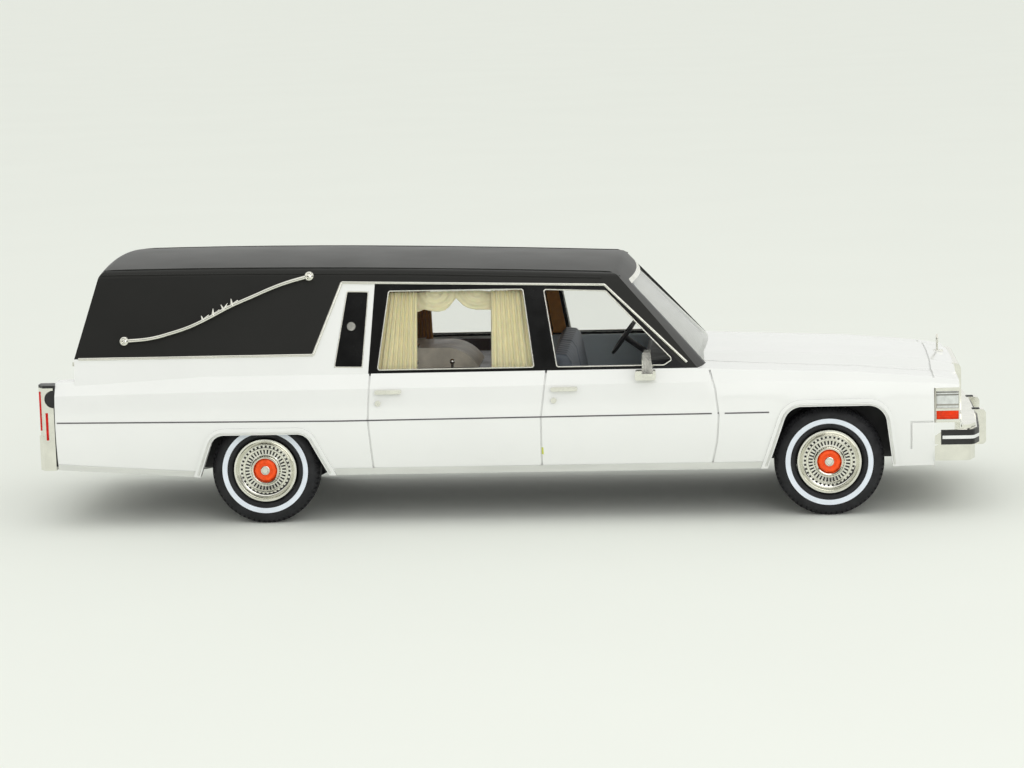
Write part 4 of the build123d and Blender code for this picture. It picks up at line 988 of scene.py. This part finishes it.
class ROOF_OT_beads(bpy.types.Operator):
    """Two beads along each upper edge of the landau roof."""

    bl_idname = "hearse.roof_beads"
    bl_label = "Roof beads"

    def execute(self, context):
        radius = context.scene.hearse_trim.bead_radius
        # x, y and z of each bead, in millimetres
        upper = [(-61.6, -15.9, 38.7), (-40, -16.0, 38.6), (-15, -15.9, 38.2), (8, -15.7, 37.5), (14, -15.6, 37.3)]
        lower = [(-61.8, -16.7, 38.0), (-40, -17.0, 38.0), (-15, -17.0, 37.4), (8, -17.2, 36.5), (14.2, -17.2, 36.2)]
        corner = [(15.5, -15.8, 36.9), (16.6, -16.4, 36.0)]
        beads = []
        for line in (upper + corner, lower):
            points = [point * MM for point in even_points([Vector(bend) for bend in line], 1.5)]
            beads.append(line_bar("bead_model", points, radius, ("landau_roof", "NEAREST_SURFACEPOINT")))
        settle_both_sides(join(beads, "roof_beads"), "black_roof")
        return {"FINISHED"}


class TRIM_OT_arch_lips(bpy.types.Operator):
    """Bright lips around the four wheel arches."""

    bl_idname = "hearse.arch_lips"
    bl_label = "Arch lips"

    def execute(self, context):
        radius = context.scene.hearse_trim.lip_radius
        # Corners of each arch and the radius of its bends, in millimetres
        arches = (
            ([(REAR_X - 10.1, 7.9), (REAR_X - 7.5, 14.4), (REAR_X + 6.89, 14.4), (REAR_X + 10.1, 7.9)], 2.5),
            ([(FRONT_X - 9.45, 7.9), (FRONT_X - 6.21, 17.3), (FRONT_X + 8.46, 17.3), (FRONT_X + 9.71, 7.9)], 3.1),
        )
        lips = []
        for corners, bend in arches:
            line = [(point.x, point.y) for point in rounded_line(corners, bend)]
            lips.append(line_bar("lip_model", side_points(line, BESIDE_BODY, 0.8), radius, ("body_shell",)))
        settle_both_sides(join(lips, "arch_lips"), "satin_metal")
        return {"FINISHED"}


def side_bead(line, radius, lift, closed=False, bend=0.3):
    """A round bead along a side view line in millimetres on the cabin's right side."""
    corners = [line[-1], *line, line[0]] if closed else line
    rounded = rounded_line(corners, bend)
    if closed:
        rounded = rounded[1:-1]
        rounded.append(rounded[0])
    points = [on_side(x * MM, z * MM, lift) for x, z in even_points(rounded, 4.0)]
    return line_bar("bead_model", points, radius)


class TRIM_OT_mouldings(bpy.types.Operator):
    """Half-round bright mouldings along the belt, the pillars and the drip rail."""

    bl_idname = "hearse.mouldings"
    bl_label = "Mouldings"

    def execute(self, context):
        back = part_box("bright_mouldings")[0].x / MM + 0.2
        line = [
            (back, 25.8), (REAR_X + 7.95, 25.8), (REAR_X + 12.35, 36.4),
            (FRONT_X - 33.2, 35.3), (FRONT_X - 21.0, 23.75),
        ]
        beads = side_bead(line, context.scene.hearse_trim.moulding_radius, 0.06 * MM)
        beads.name = "rounded_mouldings"
        settle_both_sides(beads, "bright_metal", ("bright_mouldings",))
        return {"FINISHED"}


class TRIM_OT_window_beads(bpy.types.Operator):
    """Thin bright beads around the door windows and the opera panels."""

    bl_idname = "hearse.window_beads"
    bl_label = "Window beads"

    def execute(self, context):
        radius = context.scene.hearse_trim.window_bead_radius
        ahead = FRONT_X - REAR_X
        # Distance from the rear axle and height of each outline's corners, in millimetres
        rear_window = [(17.7, 23.4), (41.37, 23.4), (39.8, 34.9), (19.48, 35.0)]
        front_window = [
            (ahead - 40.5, 23.4), (ahead - 24.45, 23.4), (ahead - 23.15, 24.2),
            (ahead - 33.05, 34.4), (ahead - 42.38, 34.8),
        ]
        opera = [(11.2, 23.95), (15.4, 23.85), (16.38, 34.95), (13.17, 35.05)]
        beads = []
        for outline in (rear_window, front_window):
            beads.append(side_bead([(REAR_X + x, z) for x, z in outline], radius, -0.04 * MM, True, 0.35))
        settle_both_sides(join(beads, "window_beads"), "bright_metal", ("window_edges",))
        frames = side_bead([(REAR_X + x, z) for x, z in opera], radius, 0.0, True, 0.2)
        frames.name = "opera_frames"
        settle_both_sides(frames, "bright_metal")
        return {"FINISHED"}


class TRIM_OT_landau_bars(bpy.types.Operator):
    """S-shaped landau bars with slotted bosses and small pointed leaves."""

    bl_idname = "hearse.landau_bars"
    bl_label = "Landau bars"

    # Distance from the rear axle, height of the bar, rise above it and lean of each leaf, in millimetres
    leaves = (
        (-8.7, 31.1, 0.72, -0.3), (-8.6, 31.15, 0.8, 0.75), (-7.2, 31.85, 1.0, 0.0), (-7.1, 31.9, 0.75, 0.85),
        (-5.6, 32.6, 0.8, -0.4), (-5.5, 32.65, 0.95, 0.5), (-4.3, 33.25, 1.0, -0.15), (-4.2, 33.3, 0.75, 0.8),
    )

    def execute(self, context):
        settings = context.scene.hearse_trim
        # Distance from the rear axle and height of the bar's middle line, in millimetres
        line = [
            (-20.8, 28.28), (-16.64, 28.62), (-13.73, 29.31), (-11.04, 30.12), (-8.81, 31.05), (-6.57, 32.14),
            (-4.78, 33.03), (-2.99, 33.79), (-1.2, 34.5), (1.48, 35.58), (3.5, 36.29), (5.9, 36.95), (7.5, 37.33),
        ]
        points = [on_side((REAR_X + x) * MM, z * MM, BAR_LIFT) for x, z in line]
        pieces = [line_bar("bar_model", points, settings.bar_radius, smooth=True)]
        for x, z in (line[0], line[-1]):
            pieces.append(self.boss(settings, on_side((REAR_X + x) * MM, z * MM, 0.0)))
        for x, z, rise, bend in self.leaves:
            foot = on_side((REAR_X + x) * MM, z * MM, BAR_LIFT)
            tip = on_side((REAR_X + x + bend) * MM, (z + rise) * MM, BAR_LIFT)
            pieces.append(self.leaf(foot, tip, settings.leaf_radius))
        settle_both_sides(join(pieces, "landau_bars_fine"), "chrome_plate", ("landau_bars",), 40.0)
        return {"FINISHED"}

    def boss(self, settings, spot):
        """A domed boss with a screw slot, standing on the cabin's side."""
        radius = settings.knob_radius / MM
        # Radius and height from the cabin's side, in millimetres
        rows = [
            (0.0, -0.3), (radius, -0.3), (radius, 0.75), (radius - 0.1, 0.9),
            (radius - 0.26, 0.98), (radius - 0.3, 0.9), (0.3, 0.98), (0.0, 1.0),
        ]
        boss = turn_solid("boss_model", [(r * MM, -h * MM) for r, h in rows], ROUND_STEPS)
        close_edit()
        cutter = add_box((0.16 * MM, 0.5 * MM, 2.0 * MM), (0, -1.0 * MM, 0), (0, math.radians(35), 0))
        add_modifier(boss, "BOOLEAN", operation="DIFFERENCE", object=cutter, solver="EXACT")
        bpy.data.objects.remove(cutter)
        place(boss, spot, (-LEAN, 0, 0))
        return boss

    def leaf(self, foot, tip, radius):
        """A pointed leaf that grows up from the bar."""
        stem = tip - foot
        deselect_all()
        bpy.ops.mesh.primitive_cone_add(vertices=12, radius1=radius, radius2=radius / 5, depth=stem.length)
        leaf = bpy.context.object
        place(leaf, foot + stem / 2, stem.to_track_quat("Z", "Y").to_euler())
        return leaf


class FRONT_OT_guard_pads(bpy.types.Operator):
    """Black pads on the front bumper's guards."""

    bl_idname = "hearse.guard_pads"
    bl_label = "Guard pads"

    def execute(self, context):
        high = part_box("front_bumper")[1]
        pads = []
        for y in (-6.2 * MM, 6.2 * MM):
            pad = add_box((1.2 * MM, 1.0 * MM, 0.12 * MM), (high.x - 1.5 * MM, y, high.z))
            inset_side(pad, lambda centre, normal: normal.z > 0.9, 0.14 * MM, 0.05 * MM)
            pads.append(pad)
        pads = join(pads, "guard_pads")
        settle(pads, "model", finishes["black_rubber"])
        return {"FINISHED"}


class DOOR_OT_mirror_glasses(bpy.types.Operator):
    """Mirror glasses set in the back of both door mirrors."""

    bl_idname = "hearse.mirror_glasses"
    bl_label = "Mirror glasses"

    def execute(self, context):
        low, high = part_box("door_mirrors")
        middle = Vector((FRONT_AXLE.x - 27.5 * MM, low.y + 1.75 * MM, high.z - 1.55 * MM))
        glass = add_box((0.2 * MM, 2.3 * MM, 2.2 * MM))
        glass.name = "mirror_glasses"
        inset_side(glass, lambda centre, normal: normal.x < -0.9, 0.18 * MM, -0.05 * MM)
        place(glass, middle)
        settle_both_sides(glass, "chrome_plate", angle=35.0)
        return {"FINISHED"}


# Cabin

WINDOW_LOW_Z, WINDOW_TOP_Z = 23.3 * MM, 35.1 * MM
CURTAIN_LOW_Z, CURTAIN_TOP_Z = 22.7 * MM, 35.0 * MM
# Inner edge of the back curtain on the right and on the left side, and of both front curtains
RIGHT_BACK_EDGE, LEFT_BACK_EDGE, FRONT_EDGE = -13.9 * MM, -15.3 * MM, -2.6 * MM
# How far a curtain reaches past the window's edge
CURTAIN_LAP = 0.3 * MM
# Faces across each pleat and up each curtain, and across and up each valance
PLEAT_FACES, CURTAIN_ROWS = 14, 16
VALANCE_COLUMNS, VALANCE_ROWS = 110, 22


def rear_window_edges(z):
    """The rear door window's back and front edges at a height."""
    rise = (z - WINDOW_LOW_Z) / (WINDOW_TOP_Z - WINDOW_LOW_Z)
    back = REAR_AXLE.x + (17.6 + 1.8 * rise) * MM
    front = REAR_AXLE.x + (41.5 - 1.6 * rise) * MM
    return back, front


def cloth_grid(name, columns, rows, point):
    """A grid of faces whose places come from a function of two shares."""
    deselect_all()
    bpy.ops.mesh.primitive_grid_add(x_subdivisions=columns, y_subdivisions=rows, size=1.0)
    cloth = bpy.context.object
    cloth.name = name
    for vertex in cloth.data.vertices:
        vertex.co = point(vertex.co.x + 0.5, vertex.co.y + 0.5)
    return cloth


class CABIN_OT_curtains(bpy.types.Operator):
    """Pleated curtains and scalloped valances in the rear door windows."""

    bl_idname = "hearse.curtains"
    bl_label = "Curtains"

    def execute(self, context):
        settings = context.scene.hearse_curtains
        for label, side in (("right", -1), ("left", 1)):
            valance = self.valance(settings, label, side)
            for place_name in ("back", "front"):
                self.curtain(settings, label, side, place_name, valance)
        return {"FINISHED"}

    def hang(self, cloth, settings):
        """Gives a cloth its thickness, with the brown painted shade on its inner face, and settles it."""
        cloth.data.materials.append(finishes["curtain_cloth"])
        cloth.data.materials.append(finishes["lining_cloth"])
        add_modifier(
            cloth, "SOLIDIFY", thickness=settings.thickness, offset=-1.0, material_offset=1, material_offset_rim=0
        )
        settle(cloth, "model", replaces=("side_curtains",), angle=80.0)

    def curtain(self, settings, label, side, place_name, valance):
        """One gathered curtain, from the window's top to below its sill."""
        phase = 0.7 if place_name == "back" else 2.1

        def point(across, up):
            share = 1.0 - across if side > 0 else across
            z = CURTAIN_LOW_Z + (CURTAIN_TOP_Z - CURTAIN_LOW_Z) * up
            back, front = rear_window_edges(z)
            if place_name == "back":
                start, end = back - CURTAIN_LAP, RIGHT_BACK_EDGE if side < 0 else LEFT_BACK_EDGE
            else:
                start, end = FRONT_EDGE, front + CURTAIN_LAP
            drift = 0.05 * math.sin(7.0 * share + 3.0 * up + phase)
            turn = math.tau * settings.pleats * (share + drift / settings.pleats)
            fold = settings.pleat_depth * math.sin(turn)
            fold *= 0.9 + 0.1 * math.sin(math.tau * 1.7 * share + phase)
            return on_side(start + (end - start) * share, z, -settings.setback + fold, side)

        cloth = cloth_grid(f"{label}_{place_name}_curtain", settings.pleats * PLEAT_FACES, CURTAIN_ROWS, point)
        self.hang(cloth, settings)

    def flat_size(self, cloth):
        """Width and height of the cloth before it was gathered, from its own faces."""
        faces = [face for face in cloth.data.polygons if face.material_index == 0]
        area = sum(face.area for face in faces)
        height = (CURTAIN_TOP_Z - CURTAIN_LOW_Z) / math.cos(LEAN)
        return area / height, height

    def valance(self, settings, label, side):
        """A scalloped cloth with two swags that meet in a notch."""
        # Distance from the rear axle and drop below the window's top, in millimetres
        hem = [
            (22.4, 3.1), (23.4, 2.9), (24.6, 2.6), (25.9, 2.85), (27.0, 3.0), (27.9, 2.85), (28.5, 2.3), (29.1, 1.5),
            (29.6, 1.0), (30.1, 1.5), (30.7, 2.1), (31.5, 2.5), (32.6, 2.75), (34.2, 2.75), (36.0, 2.8),
        ]
        notch = 29.6

        def drop_at(x):
            for (x0, low), (x1, high) in zip(hem, hem[1:]):
                if x <= x1:
                    return low + (high - low) * (x - x0) / (x1 - x0)
            return hem[-1][1]

        def point(across, up):
            share = 1.0 - across if side > 0 else across
            x = hem[0][0] + (hem[-1][0] - hem[0][0]) * share
            drop = drop_at(x) * (1.0 - up)
            z = WINDOW_TOP_Z - 0.1 * MM - drop * MM
            # The folds run in rings around the middle of each swag's top, and are level there
            reach = math.hypot((abs(x - notch) - 3.2) / 3.6, drop / 3.1)
            fold = 0.15 * math.sin(math.tau * 3.4 * reach) * min(1.0, 2.5 * reach)
            # Both ends step back behind the curtains and flatten
            behind = max(0.0, min(1.0, (abs(x - 29.15) - 3.9) / 1.6))
            inset = 1.45 + 0.95 * behind * behind * (3.0 - 2.0 * behind)
            return on_side((REAR_X + x) * MM, z, (fold * (1.0 - 0.7 * behind) - inset) * MM, side)

        cloth = cloth_grid(f"{label}_valance", VALANCE_COLUMNS, VALANCE_ROWS, point)
        self.hang(cloth, settings)
        return cloth


class CABIN_OT_seat(bpy.types.Operator):
    """Front bench with channelled backs and a channelled cushion."""

    bl_idname = "hearse.front_seat"
    bl_label = "Front seat"

    # Side view of the cushion, from the seat's low back corner, in millimetres
    cushion = [(1.1, 0.1), (10.6, 0.1), (11.7, 1.0), (11.8, 4.0), (11.2, 4.9), (8.0, 5.1), (3.0, 4.6), (1.1, 4.2)]
    # Channels across each back and across the cushion
    back_channels, cushion_channels = 7, 14
    # Over each share of a channel's width, how much the outline grows
    channel_steps = ((0.12, 1.035), (0.38, 1.015), (0.38, 1 / 1.015), (0.12, 1 / 1.035))

    def execute(self, context):
        low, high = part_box("front_seat")
        top = (high.z - low.z) / MM
        back = [(1.0, 4.0), (6.0, 4.0), (4.3, top - 1.2), (3.6, top - 0.2), (2.0, top), (1.2, top - 0.9)]
        gap = 0.3 * MM
        pieces = [self.channelled(back, low.y, -gap, self.back_channels, low)]
        pieces.append(self.channelled(back, gap, high.y, self.back_channels, low))
        pieces.append(self.channelled(self.cushion, low.y, high.y, self.cushion_channels, low))
        seat = join(pieces, "front_seat_fine")
        settle(seat, "model", finishes["seat_trim"], ("front_seat",), 50.0)
        return {"FINISHED"}

    def channelled(self, outline, start, end, channels, corner):
        """A moulded form with channels: its outline is pulled in a little at each seam."""
        points = [Vector((corner.x + x * MM, start, corner.z + z * MM)) for x, z in outline]
        form = draw_line("channel_model", [*points, points[0]])
        select_whole()
        bpy.ops.mesh.remove_doubles(threshold=MERGE)
        select_whole()
        bpy.ops.mesh.edge_face_add()
        step = (end - start) / channels
        for _ in range(channels):
            for share, grow in self.channel_steps:
                bpy.ops.mesh.extrude_region_move(TRANSFORM_OT_translate={"value": (0, step * share, 0)})
                bpy.ops.transform.resize(value=(grow, 1.0, grow))
        select_whole()
        bpy.ops.mesh.normals_make_consistent(inside=False)
        close_edit()
        add_modifier(form, "BEVEL", width=0.16 * MM, segments=2, angle_limit=math.radians(28))
        return form


# Panel and registration

class VIEW3D_PT_hearse(bpy.types.Panel):
    """Lists the hearse's pieces in the sidebar."""

    bl_label = "Hearse"
    bl_space_type = "VIEW_3D"
    bl_region_type = "UI"
    bl_category = "Hearse"

    def draw(self, context):
        for operator in OPERATORS:
            self.layout.operator(operator.bl_idname)
        for name, group in SETTINGS.items():
            for field in group.__annotations__:
                self.layout.prop(getattr(context.scene, name), field)


SETTINGS = {
    "hearse_stage": StageSettings,
    "hearse_paint": PaintSettings,
    "hearse_wheels": WheelSettings,
    "hearse_trim": TrimSettings,
    "hearse_curtains": CurtainSettings,
}
OPERATORS = (
    STAGE_OT_studio,
    BODY_OT_finish,
    WHEEL_OT_tyres,
    WHEEL_OT_covers,
    WHEEL_OT_caps,
    TRIM_OT_stripes,
    ROOF_OT_beads,
    TRIM_OT_arch_lips,
    TRIM_OT_mouldings,
    TRIM_OT_window_beads,
    TRIM_OT_landau_bars,
    FRONT_OT_guard_pads,
    DOOR_OT_mirror_glasses,
    CABIN_OT_curtains,
    CABIN_OT_seat,
)
CLASSES = (*SETTINGS.values(), *OPERATORS, VIEW3D_PT_hearse)


def register():
    """Adds the classes and the settings to Blender."""
    for cls in CLASSES:
        bpy.utils.register_class(cls)
    for name, group in SETTINGS.items():
        setattr(bpy.types.Scene, name, PointerProperty(type=group))


def unregister():
    """Takes the classes and the settings out again."""
    for name in SETTINGS:
        delattr(bpy.types.Scene, name)
    for cls in reversed(CLASSES):
        bpy.utils.unregister_class(cls)


def main():
    """Builds the scene piece by piece."""
    register()
    for operator in OPERATORS:
        group, call = operator.bl_idname.split(".")
        getattr(getattr(bpy.ops, group), call)()


if __name__ == "__main__":
    main()
